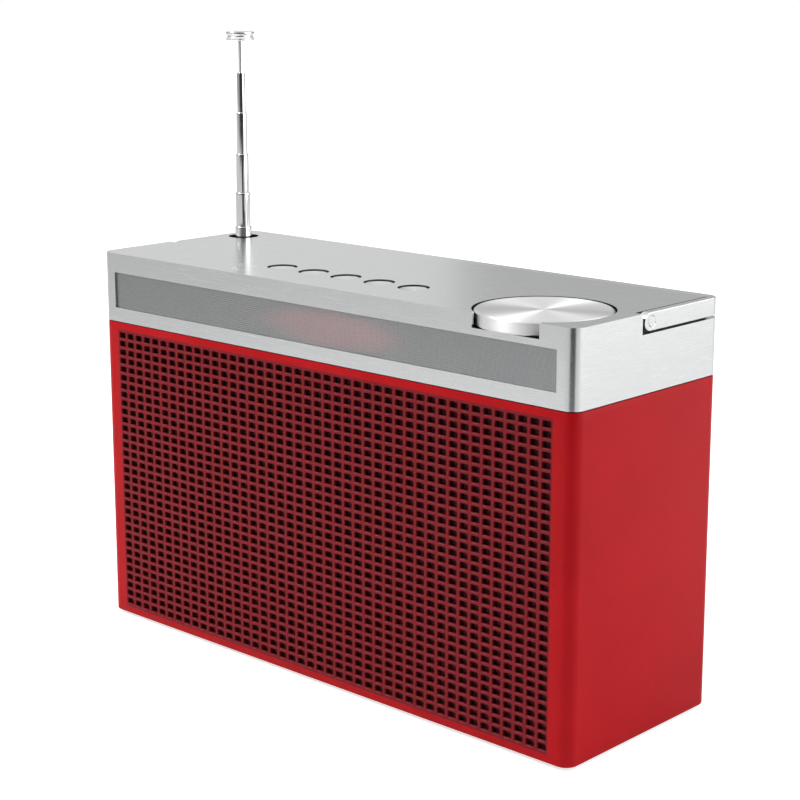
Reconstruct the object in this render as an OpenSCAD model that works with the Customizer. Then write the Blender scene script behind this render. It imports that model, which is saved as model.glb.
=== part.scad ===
// Table radio with a leather-wrapped cabinet, a metal top housing, a volume dial,
// five push buttons, a fold-down carrying handle and a telescopic aerial.
// Origin: on the floor under the middle of the body. +Z up, the grille faces -Y.

/* [Body] */
// Width of the body, side to side
body_w = 300; // [240:1:380]
// Depth of the body, front to back
body_d = 103; // [84:1:130]
// Height of the body above its feet
body_h = 188; // [155:1:230]
// Radius of the four upright corners
corner_r = 6; // [5:0.5:10]
// Height of the metal housing on top
housing_h = 34.4; // [32:0.2:42]
// Gap between cabinet and housing, filled by the gasket
seam_gap = 0.5; // [0.3:0.1:1.5]

/* [Cabinet] */
// Thickness of the leather skin
wrap_t = 1.2; // [0.8:0.1:2]
// Thickness of the cabinet boards
board_t = 6.5; // [5:0.5:7]
// Thickness of the cabinet floor
floor_t = 8; // [6:0.5:12]
// Thickness of the speaker baffle
baffle_t = 9; // [6:0.5:12]
// Thickness of the deck that carries the electronics
deck_t = 4; // [3:0.5:6]
// Square section of the battens under the deck
rail_s = 8; // [6:0.5:10]

/* [Grille] */
// Width of a grille hole
hole_w = 4.6; // [3:0.1:5.5]
// Height of a grille hole
hole_h = 3; // [2:0.1:3.8]
// Spacing of the grille columns
pitch_x = 6.31; // [6:0.01:8]
// Spacing of the grille rows
pitch_z = 4.38; // [4.2:0.01:6]
// Plain border at each side of the grille
border_side = 11.3; // [11:0.1:20]
// Plain border under the grille
border_low = 4.6; // [4:0.1:10]
// Plain border over the grille
border_top = 5; // [4:0.1:10]
// Thickness of the steel grille plate
plate_t = 1.5; // [1:0.1:2]
// Thickness of the grille cloth
cloth_t = 0.8; // [0.4:0.1:1]

/* [Speakers] */
// Side of a speaker's square flange
flange_s = 84; // [76:1:88]
// Radius of a speaker's moving cone at its edge
cone_r = 30; // [26:0.5:31]
// Outer radius of the bass port tube
port_r = 18; // [12:0.5:20]
// Gap between the bass port and the battery tray
port_room = 11.3; // [8:0.1:20]

/* [Rear] */
// Border of the body round the rear panel
panel_border = 12; // [10:0.5:16]
// Thickness of the rear panel
panel_t = 4; // [3.5:0.1:5]
// Width of the battery door
door_w = 118; // [90:1:120]
// Height of the battery door
door_h = 56; // [48:1:58]
// Radius of the aux socket's bore
aux_r = 1.8; // [1.75:0.05:1.9]

/* [Housing] */
// Thickness of the housing's walls
wall_t = 2.5; // [2:0.1:3]
// Thickness of the housing's top
top_t = 3; // [2.5:0.1:4]
// Plain border at each end of the display window
window_side = 9.7; // [9:0.1:30]
// Height of the display window's lower edge above the seam
window_low = 7; // [4:0.1:9]
// Height of the display window
window_h = 17.8; // [10:0.1:18]

/* [Dial] */
// Radius of the dial
dial_r = 29.8; // [24:0.1:30]
// Height of the dial
dial_h = 6.1; // [5.5:0.1:6.5]
// Distance from the dial's axis to the body's right side
dial_inset = 37.7; // [34:0.1:60]
// How far the dial stands out of the front face
dial_out = 3.1; // [1:0.1:4]
// Gap round the dial
dial_gap = 0.9; // [0.5:0.1:1.5]
// Width of the notch that shows the dial's rim
notch_w = 36; // [24:0.5:38]

/* [Buttons] */
// Radius of a button
button_r = 7; // [5:0.1:8]
// Spacing of the buttons
button_pitch = 21.2; // [18:0.1:24]
// Centre of the middle button, from the middle of the body
button_mid = -5.6; // [-10:0.1:0]
// Distance from the front face to the buttons' centres
button_inset = 27.9; // [24:0.1:32]
// How far a button's top lies under the housing's top
button_sink = 0.6; // [0.3:0.1:1]
// Gap round a button
button_gap = 0.3; // [0.3:0.05:0.5]
// How far a button travels when it is pressed
button_travel = 0.8; // [0.5:0.1:1.2]

/* [Handle] */
// Height of the handle's flat bar
bar_h = 8; // [6:0.1:8.5]
// Thickness of the handle's flat bar
bar_t = 3.8; // [3:0.1:4.2]
// Gap between the handle and its rebate at the sides
bar_gap = 0.3; // [0.3:0.1:0.6]
// Gap under the handle
bar_under = 1; // [0.8:0.1:1.5]
// Distance from the front face to the handle's nose
nose_inset = 46.5; // [40:0.1:56]
// Distance from the handle's nose to its pivot
nose_l = 5.2; // [4.5:0.1:6]
// Radius of the handle's pivot pins
pin_r = 1.6; // [1.4:0.1:2.2]
// Running clearance of the pivots and of the dial's shaft, on the radius
run_gap = 0.06; // [0.03:0.01:0.09]

/* [Aerial] */
// Distance from the left side of the body to the aerial
aerial_in_x = 13; // [13:0.1:20]
// Distance from the rear of the body to the aerial
aerial_in_y = 18.5; // [16:0.1:24]
// Length of each telescopic section
section_l = 96; // [80:1:110]
// Outer radius of the first section
section_r1 = 4.35; // [4:0.05:4.6]
// Wall thickness of the sections
section_wall = 0.47; // [0.45:0.01:0.48]
// Radius of the tip rod
tip_r = 1.1; // [0.8:0.05:1.2]
// Height of the cap on the tip
cap_h = 4.5; // [4:0.1:6]
// Radius of the cap on the tip
cap_r = 7.4; // [6:0.1:7.6]

/* [Feet] */
// Height of the rubber feet
foot_h = 2; // [1:0.5:6]
// Radius of the rubber feet
foot_r = 7; // [5:0.5:10]

/* [Hidden] */
$fn = 64;

// colours
leather_red = [0.68, 0.14, 0.17];
board_brown = [0.62, 0.47, 0.30];
alloy = [0.80, 0.81, 0.82];
steel = [0.70, 0.71, 0.72];
black = [0.07, 0.07, 0.08];
grey = [0.32, 0.33, 0.34];
circuit_green = [0.05, 0.32, 0.18];
paper = [0.16, 0.16, 0.17];

// levels, from the floor up
e = 0.01;
z_body = foot_h;
z_top = foot_h + body_h;
z_seam = z_top - housing_h;
z_cab = z_seam - seam_gap;
z_floor = z_body + floor_t;
deck_sink = 2;
z_deck = z_cab - deck_sink;
z_deck_low = z_deck - deck_t;
z_ceiling = z_top - top_t;

// planes, from left to right and front to back
half_w = body_w / 2;
y_front = -body_d / 2;
y_rear = body_d / 2;
box_w = body_w - 2 * wrap_t;
box_d = body_d - 2 * wrap_t;
y_box = y_front + wrap_t;
fit = 0.2;
pocket_d = plate_t + cloth_t + fit;
y_baffle = y_box + pocket_d;
y_baffle_back = y_baffle + baffle_t;
cav_w = box_w - 2 * board_t;
y_cav_back = y_rear - wrap_t - board_t;
cav_d = y_cav_back - y_baffle;

// grille field
cols = floor((body_w - 2 * border_side + pitch_x - hole_w) / pitch_x);
rows = floor((z_seam - z_body - border_low - border_top + pitch_z - hole_h) / pitch_z);
field_w = (cols - 1) * pitch_x + hole_w;
field_h = (rows - 1) * pitch_z + hole_h;
z_field = (z_body + border_low + z_seam - border_top - field_h) / 2;
pocket_rim = 1;
z_pocket = z_field - pocket_rim;
pocket_w = field_w + 2 * pocket_rim;
pocket_h = field_h + 2 * pocket_rim;

// speakers
speaker_pitch = body_w / 2;
z_speaker = (z_floor + z_deck_low) / 2;
flange_t = 3;
ledge_t = 2;
roll_r = 2.6;
roll_t = 0.5;
roll_at = cone_r + roll_r;
flange_in = roll_at + roll_r + 1.4;
basket_r = flange_in + 1.6;
basket_h = 22;
magnet_r = 28;
magnet_h = 14;
screw_at = flange_s / 2 - 6;

// rear panel
panel_w = body_w - 2 * panel_border;
panel_r = 4;
z_panel = z_body + 8;
panel_h = z_cab - 6 - z_panel;
panel_lip = 7;
door_t = 2;
door_lip = 4;
tray_t = 1.5;
tray_d = 32;
z_door = z_panel + 12;
port_l = y_rear - panel_t - tray_d - y_baffle - port_room;
socket_x = panel_w / 2 - 42;
socket_dx = 20;
z_socket = z_panel + panel_h - 22;
socket_body = 12;
nose_r = 3.2;

// housing
cav_low_w = body_w - 2 * wall_t;
cav_low_d = body_d - 2 * wall_t;
cav_low_r = max(corner_r - wall_t, 0.5);
rebate_t = bar_t + bar_gap;
bar_inner_r = max(corner_r - bar_t, 0.7);
z_bar = z_top - bar_h;
z_rebate = z_bar - bar_under;
cav_up_w = body_w - 2 * (rebate_t + wall_t);
y_cav_up = y_rear - rebate_t - wall_t;
z_step = z_rebate - wall_t;
y_rebate = y_front + nose_inset - 1.6;
z_window = z_seam + window_low;
window_w = body_w - 2 * window_side;
post_x = half_w - 22;
post_r = 4;
post_y = y_cav_back - post_r - 0.5;
m3_r = 1.5;
m3_head_r = 2.8;
m3_head_h = 2.2;

// dial
dial_x = half_w - dial_inset;
dial_y = y_front + dial_r - dial_out;
z_dial = z_top - dial_h;
dial_under = 0.5;
notch_dx = 0.8;
z_well = z_dial - dial_under;
well_r = dial_r + dial_gap;
well_t = 2;
well_wall = 2;
shaft_r = 3;
bush_r = 3.8;
nut_h = 2;
encoder_s = 13;
encoder_h = 5.6;

// buttons
button_y = y_front + button_inset;
button_top = z_top - button_sink;
button_xs = [for (i = [-2:2]) button_mid + i * button_pitch];
switch_h = 3.5;
z_board = z_ceiling - 11;
board_thick = 1.6;
board_screw_at = 2.62 * button_pitch;
board_l = 5.9 * button_pitch;
board_post_r = 3;
self_tap_r = 1.2;
z_switch = z_board + board_thick;

// handle pivot
pivot_y = y_front + nose_inset + nose_l;
pivot_z = z_bar + bar_h / 2;
pin_head_r = pin_r + 0.7;
pin_head_h = 1.2;
pin_l = bar_t + bar_gap + wall_t;

// aerial
aerial_x = -half_w + aerial_in_x;
aerial_y = y_rear - aerial_in_y;
aerial_gap = 0.08;
recess_r = cap_r + 0.5;
recess_d = 8.5;
z_recess = z_top - recess_d;
shown_l = [5.2, 17.9, 20.4, 21.7, 20.6, 16.6];
function shown_to(i) = i < 0 ? 0 : shown_l[i] + shown_to(i - 1);
z_tops = [for (i = [0 : 5]) z_top + shown_to(i)];
section_r = concat([for (i = [0 : 4]) section_r1 - i * (section_wall + aerial_gap)], [tip_r]);

// deck
rail_in = 6;
rail_y0 = y_baffle_back + rail_in;
rail_l = aerial_y - section_r1 - 4 - rail_y0;
main_w = body_w / 2;
main_d = 52;
main_x = -18;
main_y = y_cav_back - main_d / 2 - 10;
main_lift = 6;

// display
mesh_in = 1;
mesh_t = 0.6;
lens_t = wall_t - mesh_in - mesh_t;

// feet
foot_in = 20;
plug_r = 3;
plug_h = 4;

// ---- shared shapes ----

// flat rectangle with four round corners, centred
module rounded(w, d, r) {
  square([w - 2 * r, d], center = true);
  square([w, d - 2 * r], center = true);
  for (x = [-1, 1], y = [-1, 1])
    translate([x * (w / 2 - r), y * (d / 2 - r)]) circle(r);
}

// box given by its lowest corner and its size, with X centred
module bar(x_mid, w, y0, d, z0, h) {
  translate([x_mid - w / 2, y0, z0]) cube([w, d, h]);
}

// puts its children on a plane that faces the front, X across and local Y up
module facing_front(x, y, z) {
  translate([x, y, z]) rotate([90, 0, 0]) children();
}

// a screw whose head rests on local z = 0, with its shank going down
module screw(r, l, head_r, head_h) {
  cylinder(h = head_h, r = head_r);
  translate([0, 0, -l]) cylinder(h = l + e, r = r);
}

// ---- cabinet ----

module leather_wrap() {
  color(leather_red) difference() {
    translate([0, 0, z_body]) linear_extrude(z_cab - z_body) difference() {
      rounded(body_w, body_d, corner_r);
      rounded(box_w, box_d, corner_r - wrap_t);
    }
    for (i = [0 : cols - 1])
      bar((i - (cols - 1) / 2) * pitch_x, hole_w, y_front - 1, wrap_t + 1.5,
          z_field, field_h);
    facing_front(0, y_rear + 1, z_panel + panel_h / 2)
      linear_extrude(wrap_t + 3) rounded(panel_w + 2 * fit, panel_h + 2 * fit, panel_r + fit);
  }
}

module cabinet_box() {
  color(board_brown) difference() {
    translate([0, 0, z_body]) linear_extrude(z_cab - z_body)
      rounded(box_w, box_d, corner_r - wrap_t);
    bar(0, cav_w, y_baffle, cav_d, z_floor, z_cab);
    bar(0, pocket_w, y_box - 1, pocket_d + 1 + e, z_pocket, pocket_h);
    // rebate and opening for the rear panel
    facing_front(0, y_rear + 1, z_panel + panel_h / 2)
      linear_extrude(panel_t + 1) rounded(panel_w + 2 * fit, panel_h + 2 * fit, panel_r + fit);
    facing_front(0, y_rear + 1, z_panel + panel_h / 2)
      linear_extrude(wrap_t + board_t + 2)
        square([panel_w - 2 * panel_lip, panel_h - 2 * panel_lip], center = true);
    foot_places() cylinder(h = plug_h, r = plug_r);
    panel_screw_places() cylinder(h = 10, r = m3_r);
  }
}

module grille_plate() {
  color(grey) facing_front(0, y_box + plate_t, z_pocket + pocket_h / 2)
    linear_extrude(plate_t) difference() {
      square([pocket_w - fit, pocket_h - fit], center = true);
      for (j = [0 : rows - 1])
        translate([0, (j - (rows - 1) / 2) * pitch_z])
          square([field_w, hole_h], center = true);
    }
}

module grille_cloth() {
  color(black) bar(0, pocket_w - fit, y_box + plate_t, cloth_t,
                   z_pocket + fit / 2, pocket_h - fit);
}

module baffle_board() {
  color(board_brown) difference() {
    bar(0, cav_w - fit, y_baffle, baffle_t, z_floor, z_deck_low - z_floor);
    for (s = [-1, 1]) driver_place(s) {
      translate([0, 0, -flange_t]) linear_extrude(flange_t + 1)
        rounded(flange_s + 2 * fit, flange_s + 2 * fit, 8);
      translate([0, 0, -baffle_t - 1]) cylinder(h = baffle_t + 2, r = basket_r + fit);
      driver_screw_places() translate([0, 0, -baffle_t]) cylinder(h = baffle_t, r = m3_r);
    }
    facing_front(0, y_baffle_back + 1, z_speaker)
      cylinder(h = baffle_t + 2, r = port_r);
    // room for the heads of the housing's screws
    translate([0, 0, z_deck_low - m3_head_h - fit]) housing_post_places()
      cylinder(h = m3_head_h + 1, r = m3_head_r + fit);
  }
}

module bass_port() {
  color(black) facing_front(0, y_baffle, z_speaker) difference() {
    union() {
      translate([0, 0, -port_l]) cylinder(h = port_l, r = port_r);
      translate([0, 0, -baffle_t - 2]) cylinder(h = 2, r = port_r + 4);
    }
    translate([0, 0, -port_l - 1]) cylinder(h = port_l + 2, r = port_r - 2);
  }
}

// ---- speakers; local z = 0 is the baffle's front face, local +z is forward ----

module driver_place(side) {
  facing_front(side * speaker_pitch / 2, y_baffle, z_speaker) children();
}

module driver_screw_places() {
  for (x = [-1, 1], y = [-1, 1]) translate([x * screw_at, y * screw_at]) children();
}

module driver_frame() {
  difference() {
    union() {
      translate([0, 0, -flange_t]) linear_extrude(flange_t) rounded(flange_s, flange_s, 8);
      translate([0, 0, -flange_t - basket_h]) cylinder(h = basket_h, r = basket_r);
    }
    // seat of the surround, then the inside of the basket
    translate([0, 0, -flange_t]) cylinder(h = flange_t + 1, r = flange_in);
    translate([0, 0, -flange_t - ledge_t]) cylinder(h = ledge_t + 1, r = flange_in - 2);
    translate([0, 0, -flange_t - basket_h + 2]) cylinder(h = basket_h, r = flange_in - 2);
    // windows in the basket and the hole for the magnet's pole
    for (a = [45, 135]) rotate(a)
      translate([-basket_r - 1, -12, -basket_h]) cube([2 * basket_r + 2, 24, 11]);
    translate([0, 0, -basket_h - flange_t - 1]) cylinder(h = 4, r = 12);
    driver_screw_places() translate([0, 0, -flange_t - 1]) cylinder(h = flange_t + 2, r = m3_r);
  }
}

module driver_magnet() {
  translate([0, 0, -flange_t - basket_h - magnet_h]) difference() {
    union() {
      cylinder(h = magnet_h, r = magnet_r);
      cylinder(h = magnet_h + 4, r = 11);
    }
    translate([0, 0, -1]) cylinder(h = magnet_h + 6, r = 4);
  }
}

module driver_cone() {
  cone_h = 13;
  coil_r = 11.5;
  rotate_extrude() {
    polygon([[cone_r - 1.5, -flange_t - 0.8], [cone_r, -flange_t - 0.8], [cone_r, -flange_t],
             [cone_r - 1.5, -flange_t], [coil_r - 1, -flange_t - cone_h],
             [coil_r - 1, -flange_t - cone_h - 1], [coil_r, -flange_t - cone_h - 1]]);
    // dust cap
    translate([0, -flange_t - cone_h - 4]) difference() {
      circle(14);
      circle(13.4);
      translate([-15, -15]) square([15, 30]);
      translate([-1, -15]) square([16, 15 + 8.6]);
    }
  }
}

module driver_surround() {
  rotate_extrude() {
    translate([roll_at, -flange_t]) difference() {
      circle(roll_r);
      circle(roll_r - roll_t);
      translate([-roll_r, -roll_r]) square([2 * roll_r, roll_r]);
    }
    translate([cone_r - 1.5, -flange_t]) square([1.5 + roll_t, roll_t]);
    translate([roll_at + roll_r - roll_t, -flange_t]) square([1.5, roll_t]);
  }
}

module left_driver_frame() { color(grey) driver_place(-1) driver_frame(); }
module right_driver_frame() { color(grey) driver_place(1) driver_frame(); }
module left_driver_magnet() { color(steel) driver_place(-1) driver_magnet(); }
module right_driver_magnet() { color(steel) driver_place(1) driver_magnet(); }
module left_driver_cone() { color(paper) driver_place(-1) driver_cone(); }
module right_driver_cone() { color(paper) driver_place(1) driver_cone(); }
module left_driver_surround() { color(black) driver_place(-1) driver_surround(); }
module right_driver_surround() { color(black) driver_place(1) driver_surround(); }

module driver_screws() {
  color(steel) for (s = [-1, 1]) driver_place(s) driver_screw_places()
    screw(m3_r, baffle_t, m3_head_r, pocket_d - plate_t - cloth_t);
}

// ---- deck and electronics ----

module deck_rails() {
  color(board_brown) for (s = [-1, 1])
    bar(s * (cav_w - rail_s) / 2, rail_s, rail_y0, rail_l, z_deck_low - rail_s, rail_s);
}

module deck_screw_places() {
  for (s = [-1, 1], t = [0.2, 0.8])
    translate([s * (cav_w - rail_s) / 2, rail_y0 + t * rail_l, z_deck]) children();
}

module housing_post_places() {
  for (x = [-1, 1], y = [-1, 1]) translate([x * post_x, y * post_y]) children();
}

module deck_plate() {
  color(black) difference() {
    bar(0, cav_w - fit, y_baffle, cav_d - fit, z_deck_low, deck_t);
    translate([aerial_x, aerial_y, z_deck_low - 1])
      cylinder(h = deck_t + 2, r = section_r1 + 0.35);
    deck_screw_places() translate([0, 0, -deck_t - 1]) cylinder(h = deck_t + 2, r = m3_r);
    translate([0, 0, z_deck_low - 1]) housing_post_places()
      cylinder(h = deck_t + 2, r = m3_r);
    standoff_places() translate([0, 0, -deck_t]) cylinder(h = deck_t, r = self_tap_r);
  }
}

module deck_screws() {
  color(steel) deck_screw_places() screw(m3_r, deck_t, m3_head_r, m3_head_h);
}

module standoff_places() {
  for (x = [-1, 1], y = [-1, 1])
    translate([main_x + x * (main_w / 2 - 6), main_y + y * (main_d / 2 - 6), z_deck]) children();
}

module board_standoffs() {
  color([0.72, 0.58, 0.30]) standoff_places() {
    cylinder(h = main_lift, r = 2.5);
    translate([0, 0, -deck_t + 1]) cylinder(h = deck_t, r = self_tap_r);
  }
}

module main_board() {
  color(circuit_green)
    bar(main_x, main_w, main_y - main_d / 2, main_d, z_deck + main_lift, board_thick);
}

module tuner_can() {
  color(steel) bar(main_x - 45, 42, main_y - 14, 28, z_deck + main_lift + board_thick, 7);
}

module amplifier_heatsink() {
  fins = 7;
  color(black) translate([main_x + 24, main_y - 15, z_deck + main_lift + board_thick])
    difference() {
      cube([38, 30, 11]);
      for (i = [0 : fins - 2]) translate([2.6 + i * 5.6, -1, 3]) cube([3.2, 32, 9]);
    }
}

// ---- rear ----

module panel_screw_places() {
  for (x = [-1, 0, 1], z = [0, 1])
    translate([x * (panel_w / 2 - panel_lip / 2), y_rear - panel_t,
               z_panel + panel_lip / 2 + z * (panel_h - panel_lip)])
      rotate([90, 0, 0]) translate([0, 0, -e]) children();
}

module door_screw_places() {
  for (x = [-1, 1])
    translate([x * (door_w / 2 - door_lip), y_rear - door_t, z_door + door_h / 2])
      rotate([90, 0, 0]) children();
}

module rear_panel() {
  color(black) difference() {
    facing_front(0, y_rear, z_panel + panel_h / 2) linear_extrude(panel_t)
      rounded(panel_w, panel_h, panel_r);
    bar(0, door_w + 2 * fit, y_rear - door_t, door_t + 1, z_door - fit, door_h + 2 * fit);
    bar(0, door_w - 4 * door_lip, y_rear - panel_t - 1, panel_t + 2,
        z_door + door_lip, door_h - 2 * door_lip);
    translate([socket_x, y_rear + 1, z_socket]) rotate([90, 0, 0])
      cylinder(h = panel_t + 2, r = nose_r);
    bar(socket_x + socket_dx, 9.6, y_rear - panel_t - 1, panel_t + 2, z_socket - 1.9, 3.8);
    panel_screw_places() translate([0, 0, -panel_t - 1]) cylinder(h = panel_t + 2, r = m3_r);
    panel_screw_places() translate([0, 0, -panel_t - 1])
      cylinder(h = m3_head_h + 1, r = m3_head_r + fit);
    door_screw_places() cylinder(h = panel_t, r = self_tap_r);
  }
}

module rear_screws() {
  color(steel) panel_screw_places() translate([0, 0, -panel_t + m3_head_h]) rotate([180, 0, 0])
    screw(m3_r, panel_t - m3_head_h + 5, m3_head_r, m3_head_h);
}

module battery_tray() {
  color(black) difference() {
    bar(0, door_w - 4 * door_lip, y_rear - panel_t - tray_d, tray_d + 1,
        z_door + door_lip, door_h - 2 * door_lip);
    bar(0, door_w - 4 * door_lip - 2 * tray_t, y_rear - panel_t - tray_d + tray_t, tray_d + 2,
        z_door + door_lip + tray_t, door_h - 2 * door_lip - 2 * tray_t);
  }
}

module battery_pack() {
  pack_gap = 0.6;
  color([0.12, 0.22, 0.42])
    bar(0, door_w - 4 * door_lip - 2 * (tray_t + pack_gap),
        y_rear - panel_t - tray_d + tray_t + pack_gap, tray_d - tray_t - 3,
        z_door + door_lip + tray_t, door_h - 2 * door_lip - 2 * (tray_t + pack_gap));
}

module battery_door() {
  color(black) difference() {
    bar(0, door_w, y_rear - door_t, door_t, z_door, door_h);
    door_screw_places() translate([0, 0, -door_t - 1]) cylinder(h = door_t + 2, r = self_tap_r);
    door_screw_places() translate([0, 0, -door_t - 1]) cylinder(h = 2.2, r = 2.4);
    // finger groove along the upper edge
    bar(0, 26, y_rear - 0.8, 2, z_door + door_h - 5, 3);
  }
}

module door_screws() {
  color(steel) door_screw_places() translate([0, 0, -0.8]) rotate([180, 0, 0])
    screw(self_tap_r, panel_t - door_t + 0.8, 2.2, 1.1);
}

module socket_board() {
  color(circuit_green)
    bar(socket_x + socket_dx / 2, 44, y_rear - panel_t - socket_body - board_thick,
        board_thick, z_socket - 9, 18);
}

module aux_socket() {
  color(black) difference() {
    union() {
      bar(socket_x, 10, y_rear - panel_t - socket_body, socket_body, z_socket - 5, 10);
      translate([socket_x, y_rear, z_socket]) rotate([90, 0, 0]) cylinder(h = panel_t + e, r = nose_r);
    }
    translate([socket_x, y_rear + 1, z_socket]) rotate([90, 0, 0])
      cylinder(h = panel_t + socket_body - 1, r = aux_r);
  }
}

module charge_port() {
  port_y = 8;
  color(steel) difference() {
    bar(socket_x + socket_dx, 9.4, y_rear - panel_t - socket_body, panel_t + socket_body - 0.2,
        z_socket - 1.8, 3.6);
    bar(socket_x + socket_dx, 8.4, y_rear - port_y, port_y + 1, z_socket - 1.3, 2.6);
  }
}

// ---- base ----

module foot_places() {
  for (x = [-1, 1], y = [-1, 1])
    translate([x * (half_w - foot_in), y * (body_d / 2 - foot_in), z_body]) children();
}

module feet() {
  color(black) foot_places() {
    translate([0, 0, -foot_h]) cylinder(h = foot_h, r = foot_r);
    translate([0, 0, -e]) cylinder(h = plug_h - 0.5 + e, r = plug_r);
  }
}

module seam_gasket() {
  inset = 0.8;
  color(black) translate([0, 0, z_cab]) linear_extrude(seam_gap) difference() {
    rounded(body_w - 2 * inset, body_d - 2 * inset, corner_r - inset);
    translate([-cav_w / 2, y_baffle]) square([cav_w, cav_d]);
  }
}

// ---- top housing ----

module top_housing() {
  color(alloy) difference() {
    union() {
      difference() {
        translate([0, 0, z_seam]) linear_extrude(housing_h) rounded(body_w, body_d, corner_r);
        translate([0, 0, z_seam - 1]) linear_extrude(z_step - z_seam + 1)
          rounded(cav_low_w, cav_low_d, cav_low_r);
        bar(0, cav_up_w, y_front + wall_t, y_cav_up - y_front - wall_t,
            z_step - e, z_ceiling - z_step + e);
      }
      // screw posts
      translate([0, 0, z_deck]) housing_post_places()
        cylinder(h = z_ceiling - z_deck + e, r = post_r);
      // walls of the dial's well, kept inside the front wall
      intersection() {
        translate([dial_x, dial_y, z_well - well_t])
          cylinder(h = z_ceiling - z_well + well_t + e, r = well_r + well_wall);
        bar(0, cav_up_w + e, y_front + wall_t - e, body_d, z_well - well_t - 1, housing_h);
      }
      // boss under the aerial's recess
      intersection() {
        translate([aerial_x, aerial_y, z_recess - 2])
          cylinder(h = z_ceiling - z_recess + 2 + e, r = recess_r + 1.6);
        bar(0, cav_up_w + 2 * wall_t, y_front, body_d, z_recess - 3, housing_h);
      }
      // bosses for the button board
      for (s = [-1, 1]) translate([button_mid + s * board_screw_at, button_y, z_switch])
        cylinder(h = z_ceiling - z_switch + e, r = board_post_r);
    }
    bar(0, window_w, y_front - 1, wall_t + 2, z_window, window_h);
    // dial: well, rim notch and shaft hole
    translate([dial_x, dial_y, z_well]) cylinder(h = dial_h + 2, r = well_r);
    bar(dial_x + notch_dx, notch_w, y_front - 1, wall_t + 2, z_well, dial_h + 2);
    translate([dial_x, dial_y, z_well - well_t - 1]) cylinder(h = well_t + 2, r = bush_r + 0.1);
    // buttons
    for (x = button_xs) translate([x, button_y, z_ceiling - 1])
      cylinder(h = top_t + 2, r = button_r + button_gap);
    for (s = [-1, 1]) translate([button_mid + s * board_screw_at, button_y, z_switch - 1])
      cylinder(h = 7, r = self_tap_r);
    // handle rebate along both sides and the rear
    translate([0, 0, z_rebate]) linear_extrude(housing_h) difference() {
      translate([-half_w - 1, y_rebate]) square([body_w + 2, y_rear + 1 - y_rebate]);
      translate([0, -rebate_t])
        rounded(body_w - 2 * rebate_t, body_d, max(bar_inner_r - bar_gap, 0.3));
    }
    translate([-half_w - 1, pivot_y, pivot_z]) rotate([0, 90, 0])
      cylinder(h = body_w + 2, r = pin_r);
    // aerial recess and the hole for its bush
    translate([aerial_x, aerial_y, z_recess]) cylinder(h = recess_d + 1, r = recess_r);
    translate([aerial_x, aerial_y, z_recess - 3]) cylinder(h = 4, r = section_r1 + 1.2);
    // screws from the deck
    translate([0, 0, z_deck - 1]) housing_post_places() cylinder(h = 13, r = m3_r);
  }
}

module housing_screws() {
  color(steel) translate([0, 0, z_deck_low]) rotate([180, 0, 0]) housing_post_places()
    screw(m3_r, deck_t + 10, m3_head_r, m3_head_h);
}

module display_mesh() {
  color(grey) bar(0, window_w - fit, y_front + mesh_in, mesh_t, z_window + fit / 2, window_h - fit);
}

module display_lens() {
  color(black) bar(0, window_w - 2 * fit, y_front + mesh_in + mesh_t, lens_t,
                   z_window + fit, window_h - 2 * fit);
}

module display_board() {
  color(circuit_green)
    bar(0, window_w - 20, y_front + wall_t, board_thick, z_seam + 2, z_window + window_h - z_seam - 4);
}

// ---- buttons ----

module button_board() {
  color(circuit_green)
    difference() {
      bar(button_mid, board_l, button_y - 9, 18, z_board, board_thick);
      for (s = [-1, 1]) translate([button_mid + s * board_screw_at, button_y, z_board - 1])
        cylinder(h = 4, r = self_tap_r);
    }
}

module button_board_screws() {
  color(steel) for (s = [-1, 1])
    translate([button_mid + s * board_screw_at, button_y, z_board]) rotate([180, 0, 0])
      screw(self_tap_r, board_thick + 5, 2.4, 1.4);
}

module button_switches() {
  color(black) for (x = button_xs) translate([x, button_y, z_switch]) {
    translate([-3, -3, 0]) cube([6, 6, switch_h]);
    translate([0, 0, switch_h - e]) cylinder(h = 0.5, r = 1.7);
  }
}

module push_button(i) {
  dish_r = 24;
  dish_d = 0.7;
  flange = 1;
  stem_low = z_switch + switch_h + 0.5 + button_travel + 0.2;
  color(alloy) translate([button_xs[i], button_y, 0]) difference() {
    union() {
      translate([0, 0, z_ceiling - 1.8]) cylinder(h = button_top - z_ceiling + 1.8, r = button_r);
      translate([0, 0, z_ceiling - 1.8]) cylinder(h = 1.5, r = button_r + flange);
      translate([0, 0, stem_low]) cylinder(h = z_ceiling - stem_low, r = 2);
    }
    translate([0, 0, button_top + dish_r - dish_d]) sphere(dish_r);
  }
}

module button_1() { push_button(0); }
module button_2() { push_button(1); }
module button_3() { push_button(2); }
module button_4() { push_button(3); }
module button_5() { push_button(4); }

// ---- dial ----

module dial() {
  chamfer = 0.5;
  skirt = 2.6;
  crown = 2.6;
  mark_r = 0.9;
  color(alloy) translate([dial_x, dial_y, z_dial]) difference() {
    rotate_extrude() polygon([
      [shaft_r, dial_h - 1.5], [shaft_r, 2], [shaft_r + 2.5, 2], [shaft_r + 2.5, dial_h - crown],
      [dial_r - skirt, dial_h - crown], [dial_r - skirt, 0], [dial_r - chamfer, 0],
      [dial_r, chamfer], [dial_r, dial_h - chamfer], [dial_r - chamfer, dial_h],
      [0, dial_h], [0, dial_h - 1.5]]);
    rotate(64) translate([dial_r - 3, 0, dial_h - 0.3]) cylinder(h = 1, r = mark_r);
  }
}

module dial_shaft() {
  color(steel) translate([dial_x, dial_y, z_well - well_t - encoder_h + 1.5])
    cylinder(h = z_top - 1.5 - (z_well - well_t - encoder_h + 1.5), r = shaft_r);
}

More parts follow.
